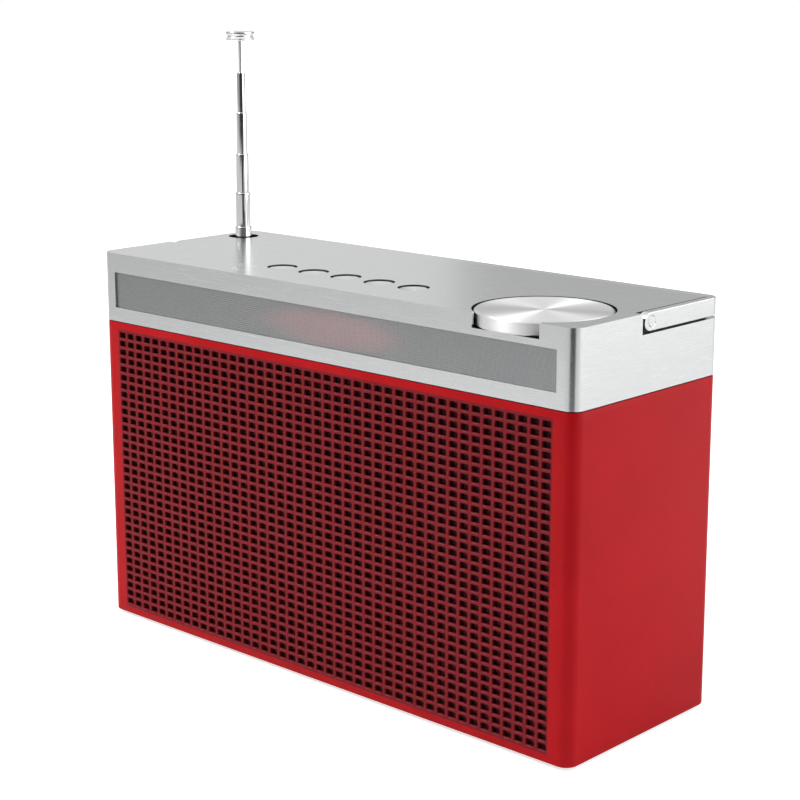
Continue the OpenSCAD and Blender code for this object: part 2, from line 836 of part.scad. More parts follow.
module encoder() {
  color(grey) translate([dial_x, dial_y, z_well - well_t]) difference() {
    union() {
      translate([-encoder_s / 2, -encoder_s / 2, -encoder_h])
        cube([encoder_s, encoder_s, encoder_h]);
      translate([0, 0, -e]) cylinder(h = well_t + nut_h + e, r = bush_r);
    }
    translate([0, 0, -encoder_h + 1]) cylinder(h = 30, r = shaft_r + run_gap);
  }
}

module encoder_nut() {
  color(steel) translate([dial_x, dial_y, z_well]) difference() {
    cylinder(h = nut_h, r = 6.4, $fn = 6);
    translate([0, 0, -1]) cylinder(h = nut_h + 2, r = bush_r);
  }
}

// ---- handle ----

module handle() {
  color(alloy) difference() {
    union() {
      // flat U, seen from above
      translate([0, 0, z_bar]) linear_extrude(bar_h) difference() {
        rounded(body_w, body_d, corner_r);
        translate([0, -bar_t]) rounded(body_w - 2 * bar_t, body_d, bar_inner_r);
        translate([-half_w - 1, y_front - 1]) square([body_w + 2, pivot_y - y_front + 1]);
      }
      // round noses
      for (s = [-1, 1]) translate([s * (half_w - bar_t / 2), pivot_y - nose_l + bar_h / 2, pivot_z])
        rotate([0, 90, 0]) translate([0, 0, -bar_t / 2]) {
          cylinder(h = bar_t, r = bar_h / 2);
          translate([-bar_h / 2, 0, 0]) cube([bar_h, nose_l - bar_h / 2 + e, bar_t]);
        }
    }
    translate([-half_w - 1, pivot_y, pivot_z]) rotate([0, 90, 0])
      cylinder(h = body_w + 2, r = pin_r + run_gap);
    for (s = [-1, 1]) translate([s * (half_w - pin_head_h / 2 + 0.5), pivot_y, pivot_z])
      rotate([0, 90, 0]) cylinder(h = pin_head_h + 1, r = pin_head_r + 0.1, center = true);
  }
}

module handle_pins() {
  head_gap = 0.05;
  color(steel) for (s = [0, 1]) mirror([s, 0, 0])
    translate([half_w, pivot_y, pivot_z]) rotate([0, -90, 0]) {
      cylinder(h = pin_head_h - head_gap, r = pin_head_r);
      cylinder(h = pin_l, r = pin_r);
    }
}

// ---- aerial ----

module aerial_bush() {
  color(black) translate([aerial_x, aerial_y, z_recess]) difference() {
    union() {
      cylinder(h = 1, r = section_r1 + 2.2);
      translate([0, 0, -2]) cylinder(h = 2 + e, r = section_r1 + 1.2);
    }
    translate([0, 0, -3]) cylinder(h = 5, r = section_r1 + run_gap);
  }
}

// one tube; its bore runs on the next section
module aerial_tube(i) {
  color(steel) translate([aerial_x, aerial_y, z_tops[i] - section_l]) difference() {
    cylinder(h = section_l, r = section_r[i]);
    translate([0, 0, -1]) cylinder(h = section_l + 2, r = section_r[i + 1] + aerial_gap);
  }
}

module aerial_section_1() { aerial_tube(0); }
module aerial_section_2() { aerial_tube(1); }
module aerial_section_3() { aerial_tube(2); }
module aerial_section_4() { aerial_tube(3); }
module aerial_section_5() { aerial_tube(4); }

module aerial_tip() {
  color(steel) translate([aerial_x, aerial_y, z_tops[5] - section_l])
    cylinder(h = section_l, r = tip_r);
}

// spool-shaped cap: two rims with a waist between them
module aerial_cap() {
  rim = cap_h * 0.27;
  waist = cap_h * 0.18;
  color(steel) translate([aerial_x, aerial_y, z_tops[5]]) rotate_extrude() polygon([
    [0, 0], [cap_r - 0.5, 0], [cap_r, 0.5], [cap_r, rim], [cap_r - waist, rim + waist],
    [cap_r - waist, cap_h - rim - waist], [cap_r, cap_h - rim], [cap_r, cap_h - 0.5],
    [cap_r - 0.5, cap_h], [0, cap_h]]);
}

leather_wrap();
cabinet_box();
grille_plate();
grille_cloth();
baffle_board();
bass_port();
left_driver_frame();
right_driver_frame();
left_driver_magnet();
right_driver_magnet();
left_driver_cone();
right_driver_cone();
left_driver_surround();
right_driver_surround();
driver_screws();
deck_rails();
deck_plate();
deck_screws();
main_board();
board_standoffs();
tuner_can();
amplifier_heatsink();
rear_panel();
rear_screws();
battery_tray();
battery_pack();
battery_door();
door_screws();
socket_board();
aux_socket();
charge_port();
feet();
seam_gasket();
top_housing();
housing_screws();
display_mesh();
display_lens();
display_board();
button_board();
button_switches();
button_board_screws();
button_1();
button_2();
button_3();
button_4();
button_5();
dial();
dial_shaft();
encoder();
encoder_nut();
handle();
handle_pins();
aerial_bush();
aerial_section_1();
aerial_section_2();
aerial_section_3();
aerial_section_4();
aerial_section_5();
aerial_tip();
aerial_cap();
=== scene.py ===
# %% [markdown]
# A table radio: a board cabinet wrapped in red leather with a punched front, a brushed
# metal housing on top, a spun dial, five push buttons, a flat carrying handle and a
# telescopic aerial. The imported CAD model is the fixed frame. Every new piece rides on
# one of its bodies, and the nodes that keep their shape only get a finish.

# %% Load the frame
import math

import bmesh
import bpy
from mathutils import Matrix, Vector


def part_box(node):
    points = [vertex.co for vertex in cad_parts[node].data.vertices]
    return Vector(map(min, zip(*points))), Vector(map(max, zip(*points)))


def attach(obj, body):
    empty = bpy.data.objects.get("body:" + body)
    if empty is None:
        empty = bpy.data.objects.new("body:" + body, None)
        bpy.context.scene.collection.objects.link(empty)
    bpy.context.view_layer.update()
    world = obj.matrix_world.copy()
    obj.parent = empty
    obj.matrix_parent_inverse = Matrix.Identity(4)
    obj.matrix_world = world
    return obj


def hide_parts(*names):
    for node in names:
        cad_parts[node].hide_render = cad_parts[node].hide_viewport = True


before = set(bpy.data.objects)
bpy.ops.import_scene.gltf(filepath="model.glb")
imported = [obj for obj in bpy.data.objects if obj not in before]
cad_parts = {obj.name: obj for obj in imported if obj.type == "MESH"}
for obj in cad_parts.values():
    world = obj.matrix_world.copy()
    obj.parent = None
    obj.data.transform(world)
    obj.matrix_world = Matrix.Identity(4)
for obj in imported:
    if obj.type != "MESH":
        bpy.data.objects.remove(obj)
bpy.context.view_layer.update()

MM = 0.001
scene = bpy.context.scene

# %% [markdown]
# The camera stands high on the front right, with a long lens so that the uprights stay
# nearly parallel. A little upward shift keeps the tall aerial in the picture.

# %% Camera
CAMERA_TURN = math.radians(42.83)
CAMERA_TILT = math.radians(12.05)
CAMERA_PLACE = (0.5986, -0.6386, 0.3346)

camera_data = bpy.data.cameras.new("camera")
camera_data.sensor_width = 36
camera_data.lens = 84.96
camera_data.shift_y = -0.05
camera_data.clip_start = 0.01
camera = bpy.data.objects.new("camera", camera_data)
camera.location = CAMERA_PLACE
camera.rotation_euler = (math.radians(90) - CAMERA_TILT, 0, CAMERA_TURN)
scene.collection.objects.link(camera)
scene.camera = camera
print("camera at", tuple(camera.location))

# %% [markdown]
# The world and all the materials are node trees. One small helper adds a node, fills in
# its values and joins its inputs, so that each line of a tree reads as one step.

# %% Node helper


def add(tree, kind, links=(), **values):
    """Adds a node. Values go to its sockets by name, or to its own settings; links are
    (socket name or number, output) pairs."""
    node = tree.nodes.new(kind)
    for key, value in values.items():
        if hasattr(node, key):
            setattr(node, key, value)
        else:
            node.inputs[key.replace("_", " ")].default_value = value
    for name, output in links:
        tree.links.new(output, node.inputs[name])
    return node


# %% [markdown]
# Studio light is mostly large pale surfaces. The world is a soft white tent that grows
# brighter towards its top. It is darker behind the camera, as black cloth round a real
# camera would be, because polished edges need something dark to mirror. The tent is plain
# white where the camera looks straight at it.

# %% World
TO_CAMERA = Vector((math.sin(CAMERA_TURN), -math.cos(CAMERA_TURN), 0))
CLOTH_EDGE, CLOTH_MIDDLE = 0.52, 0.98  # cosines of the angle from the camera's direction
CLOTH_TONE = 0.08
TENT_FOOT, TENT_TOP = (0.05, 0.42), (0.75, 1.15)  # rise of a ray, and the tone there

world = bpy.data.worlds.new("studio tent")
scene.world = world
world.use_nodes = True
sky = world.node_tree
sky.nodes.clear()
sky_ray = add(sky, "ShaderNodeTexCoord").outputs["Generated"]
sky_dot = add(sky, "ShaderNodeVectorMath", [(0, sky_ray)], operation="DOT_PRODUCT")
sky_dot.inputs[1].default_value = TO_CAMERA
sky_cloth = add(sky, "ShaderNodeMapRange", [("Value", sky_dot.outputs["Value"])],
                interpolation_type="SMOOTHERSTEP", From_Min=CLOTH_EDGE,
                From_Max=CLOTH_MIDDLE, To_Min=1.0, To_Max=CLOTH_TONE)
sky_split = add(sky, "ShaderNodeSeparateXYZ", [("Vector", sky_ray)])
sky_rise = add(sky, "ShaderNodeMapRange", [("Value", sky_split.outputs["Z"])],
               From_Min=TENT_FOOT[0], From_Max=TENT_TOP[0],
               To_Min=TENT_FOOT[1], To_Max=TENT_TOP[1])
sky_tone = add(sky, "ShaderNodeMath",
               [(0, sky_cloth.outputs["Result"]), (1, sky_rise.outputs["Result"])],
               operation="MULTIPLY")
tent_light = add(sky, "ShaderNodeBackground", [("Strength", sky_tone.outputs["Value"])])
tent_seen = add(sky, "ShaderNodeBackground", Color=(1, 1, 1, 1))
sky_path = add(sky, "ShaderNodeLightPath")
sky_mix = add(sky, "ShaderNodeMixShader", [
    ("Fac", sky_path.outputs["Is Camera Ray"]), (1, tent_light.outputs["Background"]),
    (2, tent_seen.outputs["Background"])])
add(sky, "ShaderNodeOutputWorld", [("Surface", sky_mix.outputs["Shader"])])
scene.view_settings.view_transform = "Standard"
print("world nodes", len(sky.nodes))

# %% [markdown]
# A large softbox behind on the right makes the right side the brighter one. A small one
# high on the left lifts the front; its spread is narrow, as with a grid on the box, so
# that it doesn't light the floor that the front's metal mirrors. A weak one far behind
# on the left is mirrored in the top plate.

# %% Softboxes
# name: place, target, width and height in metres, watts, spread in degrees
SOFTBOXES = {
    "right_softbox": ((1.5, 0.85, 0.7), (0, 0, 0.1), (2.0, 1.3), 18, 180),
    "left_softbox": ((-0.75, -0.85, 1.25), (-0.1, -0.05, 0.1), (0.7, 0.6), 2.5, 60),
    "back_softbox": ((-1.65, 1.0, 0.45), (0, 0, 0.15), (1.3, 0.8), 1.0, 180),
}
for name, (place, target, size, watts, spread) in SOFTBOXES.items():
    lamp_data = bpy.data.lights.new(name, "AREA")
    lamp_data.shape = "RECTANGLE"
    lamp_data.size, lamp_data.size_y = size
    lamp_data.energy = watts
    lamp_data.spread = math.radians(spread)
    lamp = bpy.data.objects.new(name, lamp_data)
    lamp.location = place
    aim = Vector(target) - Vector(place)
    lamp.rotation_euler = aim.to_track_quat("-Z", "Y").to_euler()
    scene.collection.objects.link(lamp)
    print(name, watts, "W,", round(aim.length, 2), "m away")

# %% [markdown]
# An effect that several finishes use is a node group. Each puts out a mask or a height
# that varies over the surface, made from object coordinates, so it stays on the piece as
# the piece moves. One helper makes an empty group with its named sockets.

# %% Group helper


def new_group(name, inputs, outputs):
    group = bpy.data.node_groups.new(name, "ShaderNodeTree")
    for label, kind, value in inputs:
        socket = group.interface.new_socket(label, in_out="INPUT", socket_type=kind)
        socket.default_value = value
    for label in outputs:
        group.interface.new_socket(label, in_out="OUTPUT", socket_type="NodeSocketFloat")
    return group, group.nodes.new("NodeGroupInput"), group.nodes.new("NodeGroupOutput")


FLOAT, VECTOR = "NodeSocketFloat", "NodeSocketVector"

# %% [markdown]
# Leather: round pebbles about half a millimetre wide with fine creases between them, and
# a slow change of tone from the hide. A Voronoi cell gives the pebble, and two noises the
# creases and the tone.

# %% Leather grain group
leather_grain, g_in, g_out = new_group(
    "Leather Grain", [("Cells per Metre", FLOAT, 1500)], ["Height", "Tone"])
g_coords = add(leather_grain, "ShaderNodeTexCoord").outputs["Object"]
g_warp = add(leather_grain, "ShaderNodeTexNoise", [("Vector", g_coords)], Scale=420.0, Detail=2.0)
g_shift = add(leather_grain, "ShaderNodeVectorMath", [(0, g_warp.outputs["Color"])],
              operation="SCALE", Scale=0.0006)
g_place = add(leather_grain, "ShaderNodeVectorMath",
              [(0, g_coords), (1, g_shift.outputs["Vector"])], operation="ADD")
g_cells = add(leather_grain, "ShaderNodeTexVoronoi",
              [("Vector", g_place.outputs["Vector"]), ("Scale", g_in.outputs["Cells per Metre"])],
              feature="SMOOTH_F1", Smoothness=0.35)
g_round = add(leather_grain, "ShaderNodeMapRange", [("Value", g_cells.outputs["Distance"])],
              From_Min=0.1, From_Max=0.75, To_Min=1.0, To_Max=0.0)
g_tone = add(leather_grain, "ShaderNodeTexNoise", [("Vector", g_coords)],
             Scale=28.0, Detail=5.0, Roughness=0.6)
leather_grain.links.new(g_round.outputs["Result"], g_out.inputs["Height"])
leather_grain.links.new(g_tone.outputs["Fac"], g_out.inputs["Tone"])
print("group", leather_grain.name)

# %% [markdown]
# Brushed metal: noise drawn out along the brushing. The housing is brushed round its
# body, so its ends are brushed front to back and the other faces side to side. The mask
# for the ends comes from the surface normal.

# %% Brushing group
brushing, b_in, b_out = new_group(
    "Brushing", [("Lines per Metre", FLOAT, 3600), ("Run", FLOAT, 60)], ["Lines", "Cloud"])
b_coords = add(brushing, "ShaderNodeTexCoord")
b_wide = add(brushing, "ShaderNodeCombineXYZ", [
    (0, b_in.outputs["Run"]), (1, b_in.outputs["Lines per Metre"]),
    (2, b_in.outputs["Lines per Metre"])])
b_deep = add(brushing, "ShaderNodeCombineXYZ", [
    (0, b_in.outputs["Lines per Metre"]), (1, b_in.outputs["Run"]),
    (2, b_in.outputs["Lines per Metre"])])
b_lines = []
for stretch in (b_wide, b_deep):
    place = add(brushing, "ShaderNodeVectorMath",
                [(0, b_coords.outputs["Object"]), (1, stretch.outputs["Vector"])],
                operation="MULTIPLY")
    b_lines.append(add(brushing, "ShaderNodeTexNoise", [("Vector", place.outputs["Vector"])],
                       Scale=1.0, Detail=3.0, Roughness=0.65))
b_normal = add(brushing, "ShaderNodeSeparateXYZ", [("Vector", b_coords.outputs["Normal"])])
b_side = add(brushing, "ShaderNodeMath", [(0, b_normal.outputs["X"])], operation="ABSOLUTE")
b_end = add(brushing, "ShaderNodeMapRange", [("Value", b_side.outputs["Value"])],
            From_Min=0.5, From_Max=0.8)
b_mix = add(brushing, "ShaderNodeMix", [
    (0, b_end.outputs["Result"]), (2, b_lines[0].outputs["Fac"]), (3, b_lines[1].outputs["Fac"])])
b_cloud = add(brushing, "ShaderNodeTexNoise", [("Vector", b_coords.outputs["Object"])],
              Scale=14.0, Detail=3.0)
brushing.links.new(b_mix.outputs[0], b_out.inputs["Lines"])
brushing.links.new(b_cloud.outputs["Fac"], b_out.inputs["Cloud"])
print("group", brushing.name)

# %% [markdown]
# Spun metal: the tool leaves rings round the axis. The rings are noise read along the
# distance from a centre, so each round piece gives the group its own centre.

# %% Spun rings group
spun_rings, s_in, s_out = new_group(
    "Spun Rings", [("Centre", VECTOR, (0, 0, 0)), ("Rings per Metre", FLOAT, 3000)],
    ["Rings", "Radius"])
s_coords = add(spun_rings, "ShaderNodeTexCoord").outputs["Object"]
s_from = add(spun_rings, "ShaderNodeVectorMath", [(0, s_coords), (1, s_in.outputs["Centre"])],
             operation="SUBTRACT")
s_flat = add(spun_rings, "ShaderNodeVectorMath", [(0, s_from.outputs["Vector"])],
             operation="MULTIPLY")
s_flat.inputs[1].default_value = (1, 1, 0)
s_radius = add(spun_rings, "ShaderNodeVectorMath", [(0, s_flat.outputs["Vector"])],
               operation="LENGTH")
s_scaled = add(spun_rings, "ShaderNodeMath",
               [(0, s_radius.outputs["Value"]), (1, s_in.outputs["Rings per Metre"])],
               operation="MULTIPLY")
s_noise = add(spun_rings, "ShaderNodeTexNoise", [("W", s_scaled.outputs["Value"])],
              noise_dimensions="1D", Scale=1.0, Detail=2.0, Roughness=0.7)
spun_rings.links.new(s_noise.outputs["Fac"], s_out.inputs["Rings"])
spun_rings.links.new(s_radius.outputs["Value"], s_out.inputs["Radius"])
print("group", spun_rings.name)

# %% [markdown]
# Mottle: a moulded, cast or painted surface is never quite even. Two scales of noise
# serve as its tone, its shine and its fine texture.

# %% Mottle group
mottle, m_in, m_out = new_group(
    "Mottle", [("Fine Scale", FLOAT, 1800), ("Broad Scale", FLOAT, 35)], ["Fine", "Broad"])
m_coords = add(mottle, "ShaderNodeTexCoord").outputs["Object"]
for label, scale_name, detail in (("Fine", "Fine Scale", 2.0), ("Broad", "Broad Scale", 5.0)):
    m_noise = add(mottle, "ShaderNodeTexNoise",
                  [("Vector", m_coords), ("Scale", m_in.outputs[scale_name])], Detail=detail)
    mottle.links.new(m_noise.outputs["Fac"], m_out.inputs[label])
print("group", mottle.name)

# %% [markdown]
# Weave: threads that cross over and under, from two sine waves. It serves the cloth behind the
# punched front.

# %% Weave group
weave, w_in, w_out = new_group("Weave", [("Threads per Metre", FLOAT, 1400)], ["Height", "Over"])
w_coords = add(weave, "ShaderNodeTexCoord").outputs["Object"]
w_split = add(weave, "ShaderNodeSeparateXYZ", [("Vector", w_coords)])
w_waves = []
for axis in ("X", "Z"):
    turns = add(weave, "ShaderNodeMath",
                [(0, w_split.outputs[axis]), (1, w_in.outputs["Threads per Metre"])],
                operation="MULTIPLY")
    angle = add(weave, "ShaderNodeMath", [(0, turns.outputs["Value"])], operation="MULTIPLY")
    angle.inputs[1].default_value = math.pi
    w_waves.append(add(weave, "ShaderNodeMath", [(0, angle.outputs["Value"])], operation="SINE"))
w_over = add(weave, "ShaderNodeMath",
             [(0, w_waves[0].outputs["Value"]), (1, w_waves[1].outputs["Value"])],
             operation="MULTIPLY")
w_high = add(weave, "ShaderNodeMath", [(0, w_over.outputs["Value"])], operation="ABSOLUTE")
w_mask = add(weave, "ShaderNodeMapRange", [("Value", w_over.outputs["Value"])],
             From_Min=-1.0, From_Max=1.0)
weave.links.new(w_high.outputs["Value"], w_out.inputs["Height"])
weave.links.new(w_mask.outputs["Result"], w_out.inputs["Over"])
print("group", weave.name)

# %% [markdown]
# A material is one Principled shader. Three helpers feed it from a mask: one mixes two
# tones for the colour, one sets a range of roughness, and one makes a bump.

# %% Material helpers


def start_material(name, **settings):
    material = bpy.data.materials.new(name)
    material.use_nodes = True
    shader = material.node_tree.nodes["Principled BSDF"]
    for key, value in settings.items():
        shader.inputs[key.replace("_", " ")].default_value = value
    return material, material.node_tree, shader


def place_group(tree, group, **values):
    node = tree.nodes.new("ShaderNodeGroup")
    node.node_tree = group
    for key, value in values.items():
        node.inputs[key.replace("_", " ")].default_value = value
    return node


def tint(tree, shader, mask, low, high, low_at=0.3, high_at=0.7):
    spread = add(tree, "ShaderNodeMapRange", [("Value", mask)], From_Min=low_at, From_Max=high_at)
    mix = add(tree, "ShaderNodeMix", [(0, spread.outputs["Result"])], data_type="RGBA")
    mix.inputs[6].default_value = (*low, 1)
    mix.inputs[7].default_value = (*high, 1)
    tree.links.new(mix.outputs[2], shader.inputs["Base Color"])
    return mix


def shine(tree, shader, mask, low, high):
    spread = add(tree, "ShaderNodeMapRange", [("Value", mask)],
                 From_Min=0.25, From_Max=0.75, To_Min=low, To_Max=high)
    tree.links.new(spread.outputs["Result"], shader.inputs["Roughness"])


def bump(tree, shader, height, depth, strength=1.0):
    node = add(tree, "ShaderNodeBump", [("Height", height)], Strength=strength, Distance=depth)
    tree.links.new(node.outputs["Normal"], shader.inputs["Normal"])


finish = {}

# %% [markdown]
# The leather is a deep satin red with little shine. The hide's slow change of tone varies
# its colour and roughness, and the pebbles are a shallow bump.

# %% Red leather
finish["red_leather"], tree, shader = start_material("red_leather", Specular_IOR_Level=0.12)
grain = place_group(tree, leather_grain, Cells_per_Metre=1700)
hide = tint(tree, shader, grain.outputs["Tone"], (0.405, 0.003, 0.006), (0.47, 0.005, 0.009))
shine(tree, shader, grain.outputs["Tone"], 0.34, 0.44)
bump(tree, shader, grain.outputs["Height"], 0.00004, 0.6)

# %% [markdown]
# On the punched front the bars between the slots get painted shade and a painted sheen: they are
# coloured a darker, greyer red than the rest. A box mask in object coordinates finds that field: a
# point is inside when it is near the middle along all three axes.

# %% Painted shade and sheen on the bars
FIELD_MID_Z = 78.6 * MM
FIELD_BOX = (("X", 0, 0.1388), ("Z", FIELD_MID_Z, 0.0730), ("Y", -0.0515, 0.0015))
# The darker, greyer red painted on the bars as shade and sheen.
PAINTED_SHADE_SHEEN_RED = (0.20, 0.011, 0.016, 1)
here = add(tree, "ShaderNodeSeparateXYZ",
           [("Vector", add(tree, "ShaderNodeTexCoord").outputs["Object"])])
inside = []
for axis, middle, reach in FIELD_BOX:
    away = add(tree, "ShaderNodeMath", [(0, here.outputs[axis])], operation="SUBTRACT")
    away.inputs[1].default_value = middle
    size = add(tree, "ShaderNodeMath", [(0, away.outputs["Value"])], operation="ABSOLUTE")
    within = add(tree, "ShaderNodeMath", [(0, size.outputs["Value"])], operation="LESS_THAN")
    within.inputs[1].default_value = reach
    inside.append(within)
both = add(tree, "ShaderNodeMath",
           [(0, inside[0].outputs["Value"]), (1, inside[1].outputs["Value"])],
           operation="MULTIPLY")
field = add(tree, "ShaderNodeMath",
            [(0, both.outputs["Value"]), (1, inside[2].outputs["Value"])], operation="MULTIPLY")
# Painted shade and sheen: inside the field the colour becomes the darker, greyer red.
painted_shade_sheen = add(tree, "ShaderNodeMix", [(0, field.outputs["Value"]), (6, hide.outputs[2])],
             data_type="RGBA")
painted_shade_sheen.inputs[7].default_value = PAINTED_SHADE_SHEEN_RED
tree.links.new(painted_shade_sheen.outputs[2], shader.inputs["Base Color"])
print("half size of the rubbed field", [reach for _, _, reach in FIELD_BOX])

# %% [markdown]
# The housing and the handle are brushed aluminium. It is metallic, and its look comes
# from what it mirrors, so the lines act on roughness and normal far more than on colour.

# %% Brushed aluminium
finish["brushed_alloy"], tree, shader = start_material("brushed_alloy", Metallic=1.0)
lines = place_group(tree, brushing)
tint(tree, shader, lines.outputs["Lines"], (0.70, 0.71, 0.715), (0.76, 0.77, 0.775))
shine(tree, shader, lines.outputs["Lines"], 0.20, 0.30)
bump(tree, shader, lines.outputs["Lines"], 0.000010, 0.6)
finish["button_alloy"] = finish["brushed_alloy"]

# %% [markdown]
# The dial and the buttons are turned on a lathe, which leaves fine rings. Rings stretch
# a highlight across themselves, so the face shows a fan of light that opens from its
# middle. That is anisotropy with a tangent that runs round the axis; it needs a quarter
# turn, because the shader stretches a highlight along its tangent.

# %% Spun aluminium


def spun_material(name, centre, rings, low, high, tones=(0.85, 0.90), **settings):
    material, tree, shader = start_material(name, Metallic=1.0, **settings)
    turned = place_group(tree, spun_rings, Centre=centre, Rings_per_Metre=rings)
    tint(tree, shader, turned.outputs["Rings"], [tones[0]] * 3, [tones[1]] * 3)
    shine(tree, shader, turned.outputs["Rings"], low, high)
    bump(tree, shader, turned.outputs["Rings"], 0.000004, 0.5)
    tangent = add(tree, "ShaderNodeTangent", direction_type="RADIAL", axis="Z")
    tree.links.new(tangent.outputs["Tangent"], shader.inputs["Tangent"])
    return material


dial_low, dial_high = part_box("dial")
dial_axis = Vector(((dial_low.x + dial_high.x) / 2, (dial_low.y + dial_high.y) / 2, 0))
finish["spun_alloy"] = spun_material("spun_alloy", dial_axis, 2500, 0.38, 0.48,
                                     Anisotropic=0.8, Anisotropic_Rotation=0.25)
print("dial axis", dial_axis)

# %% [markdown]
# The aerial is bright chrome. Faint smears, in its tone and its roughness, keep its mirror
# from looking perfect.

# %% Chrome
finish["chrome_tube"], tree, shader = start_material("chrome_tube", Metallic=1.0)
smear = place_group(tree, mottle, Fine_Scale=250.0, Broad_Scale=60.0)
tint(tree, shader, smear.outputs["Broad"], (0.93, 0.935, 0.94), (0.97, 0.97, 0.97))
shine(tree, shader, smear.outputs["Fine"], 0.06, 0.09)

# %% [markdown]
# Most hidden parts are plain moulded, painted or plated. A table of their own tones goes
# through one loop, and each gets the mottle group at its own scale. The heads of the
# handle's pins show on the sides, so they get a paler steel of their own.

# %% Plain finishes
PLAIN = {  # slot: dark tone, light tone, roughness, metallic, fine scale, bump depth in metres
    "painted_steel": ((0.060, 0.002, 0.004), (0.095, 0.004, 0.007), (0.40, 0.55), 0, 2500, 8e-6),
    "black_plastic": ((0.012, 0.012, 0.013), (0.022, 0.022, 0.024), (0.45, 0.60), 0, 2200, 3e-5),
    "magnet_steel": ((0.40, 0.40, 0.41), (0.52, 0.52, 0.53), (0.28, 0.42), 1, 900, 1e-5),
    "black_rubber": ((0.010, 0.010, 0.010), (0.020, 0.020, 0.021), (0.70, 0.85), 0, 3000, 2e-5),
    "screw_steel": ((0.46, 0.46, 0.47), (0.60, 0.60, 0.61), (0.25, 0.38), 1, 1500, 6e-6),
    "brass": ((0.62, 0.44, 0.18), (0.76, 0.58, 0.28), (0.22, 0.36), 1, 1500, 6e-6),
    "black_alloy": ((0.030, 0.030, 0.033), (0.055, 0.055, 0.060), (0.35, 0.50), 1, 2000, 1e-5),
    "battery_sleeve": ((0.030, 0.070, 0.17), (0.045, 0.10, 0.24), (0.30, 0.42), 0, 400, 1e-5),
    "circuit_board": ((0.008, 0.060, 0.028), (0.014, 0.10, 0.045), (0.25, 0.40), 0, 600, 2e-5),
    "paper_cone": ((0.020, 0.020, 0.021), (0.040, 0.039, 0.038), (0.75, 0.90), 0, 1600, 8e-5),
}
for slot_name, (dark, light, rough, metal, fine, depth) in PLAIN.items():
    finish[slot_name], tree, shader = start_material(slot_name, Metallic=float(metal))
    spots = place_group(tree, mottle, Fine_Scale=float(fine))
    tint(tree, shader, spots.outputs["Broad"], dark, light)
    shine(tree, shader, spots.outputs["Broad"], *rough)
    bump(tree, shader, spots.outputs["Fine"], depth)

pin_steel, tree, shader = start_material("pin_steel", Metallic=1.0)
spots = place_group(tree, mottle, Fine_Scale=1500.0)
tint(tree, shader, spots.outputs["Broad"], (0.68, 0.685, 0.69), (0.78, 0.785, 0.79))
shine(tree, shader, spots.outputs["Fine"], 0.22, 0.32)
print("plain finishes", len(PLAIN) + 1)

# %% [markdown]
# The boards are raw fibreboard with drawn-out fibres. The cloth behind the punched front is a dark
# red.

# %% Board and cloth
finish["cabinet_board"], tree, shader = start_material("cabinet_board")
fibres = place_group(tree, brushing, Lines_per_Metre=500.0, Run=60.0)
tint(tree, shader, fibres.outputs["Lines"], (0.30, 0.19, 0.10), (0.46, 0.32, 0.19))
shine(tree, shader, fibres.outputs["Cloud"], 0.70, 0.85)
bump(tree, shader, fibres.outputs["Lines"], 0.00008)

finish["black_cloth"], tree, shader = start_material(
    "black_cloth", Sheen_Weight=0.15, Sheen_Roughness=0.5)
threads = place_group(tree, weave)
tint(tree, shader, threads.outputs["Over"], (0.075, 0.010, 0.013), (0.150, 0.020, 0.025))
shine(tree, shader, threads.outputs["Over"], 0.80, 0.95)
bump(tree, shader, threads.outputs["Height"], 0.0002)

# %% [markdown]
# The window is smoked plastic. It has a soft red glow where the figures of a clock would
# be, without any figures: a stretched ball mask fades out, and noise breaks it up. The
# fine mesh in front of the window is drawn steel.

# %% Window and mesh
GLOW_MIDDLE = (0.010, -0.0500, 0.1712)
GLOW_REACH = (0.046, 0.01, 0.0085)
GLOW_RED = (1, 0.12, 0.15, 1)
finish["dark_lens"], tree, shader = start_material(
    "dark_lens", Coat_Weight=0.5, Emission_Strength=4.0)
haze = place_group(tree, mottle, Fine_Scale=260.0)
spot = add(tree, "ShaderNodeMapping", [
    ("Vector", add(tree, "ShaderNodeTexCoord").outputs["Object"])], vector_type="TEXTURE")
spot.inputs["Location"].default_value = GLOW_MIDDLE
spot.inputs["Scale"].default_value = GLOW_REACH
ball = add(tree, "ShaderNodeVectorMath", [(0, spot.outputs["Vector"])], operation="LENGTH")
fade = add(tree, "ShaderNodeMapRange", [("Value", ball.outputs["Value"])],
           interpolation_type="SMOOTHSTEP", From_Min=0.55, From_Max=1.15, To_Min=1.0, To_Max=0.0)
broken = add(tree, "ShaderNodeMath",
             [(0, fade.outputs["Result"]), (1, haze.outputs["Fine"])], operation="MULTIPLY")
glow = add(tree, "ShaderNodeMix", [(0, broken.outputs["Value"])], data_type="RGBA")
glow.inputs[6].default_value = (0, 0, 0, 1)
glow.inputs[7].default_value = GLOW_RED
tree.links.new(glow.outputs[2], shader.inputs["Emission Color"])
tint(tree, shader, haze.outputs["Broad"], (0.030, 0.030, 0.032), (0.045, 0.045, 0.048))
shine(tree, shader, haze.outputs["Fine"], 0.15, 0.30)

finish["display_mesh"], tree, shader = start_material("display_mesh", Metallic=1.0)
drawn = place_group(tree, mottle, Fine_Scale=2600.0, Broad_Scale=80.0)
tint(tree, shader, drawn.outputs["Fine"], (0.38, 0.385, 0.39), (0.52, 0.525, 0.53))
shine(tree, shader, drawn.outputs["Fine"], 0.32, 0.48)
bump(tree, shader, drawn.outputs["Fine"], 0.00002)
print("finishes", len(finish))

# %% [markdown]
# Each CAD node has one material slot, named for its finish. The nodes that stay get the
# finish made above.

# %% Finish the CAD nodes
node_slot = {}
for name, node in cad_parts.items():
    for holder in node.material_slots:
        slot_name = holder.material.name.split(".")[0]
        node_slot[name] = slot_name
        holder.material = finish[slot_name]
print("finished nodes", len(node_slot))

# %% [markdown]
# Every new piece ends the same way: a mesh in its final place, smooth except at its hard
# edges, one material, a body to ride on, and the CAD nodes that it stands for.

# %% Piece helpers
HARD_EDGE = math.radians(38)


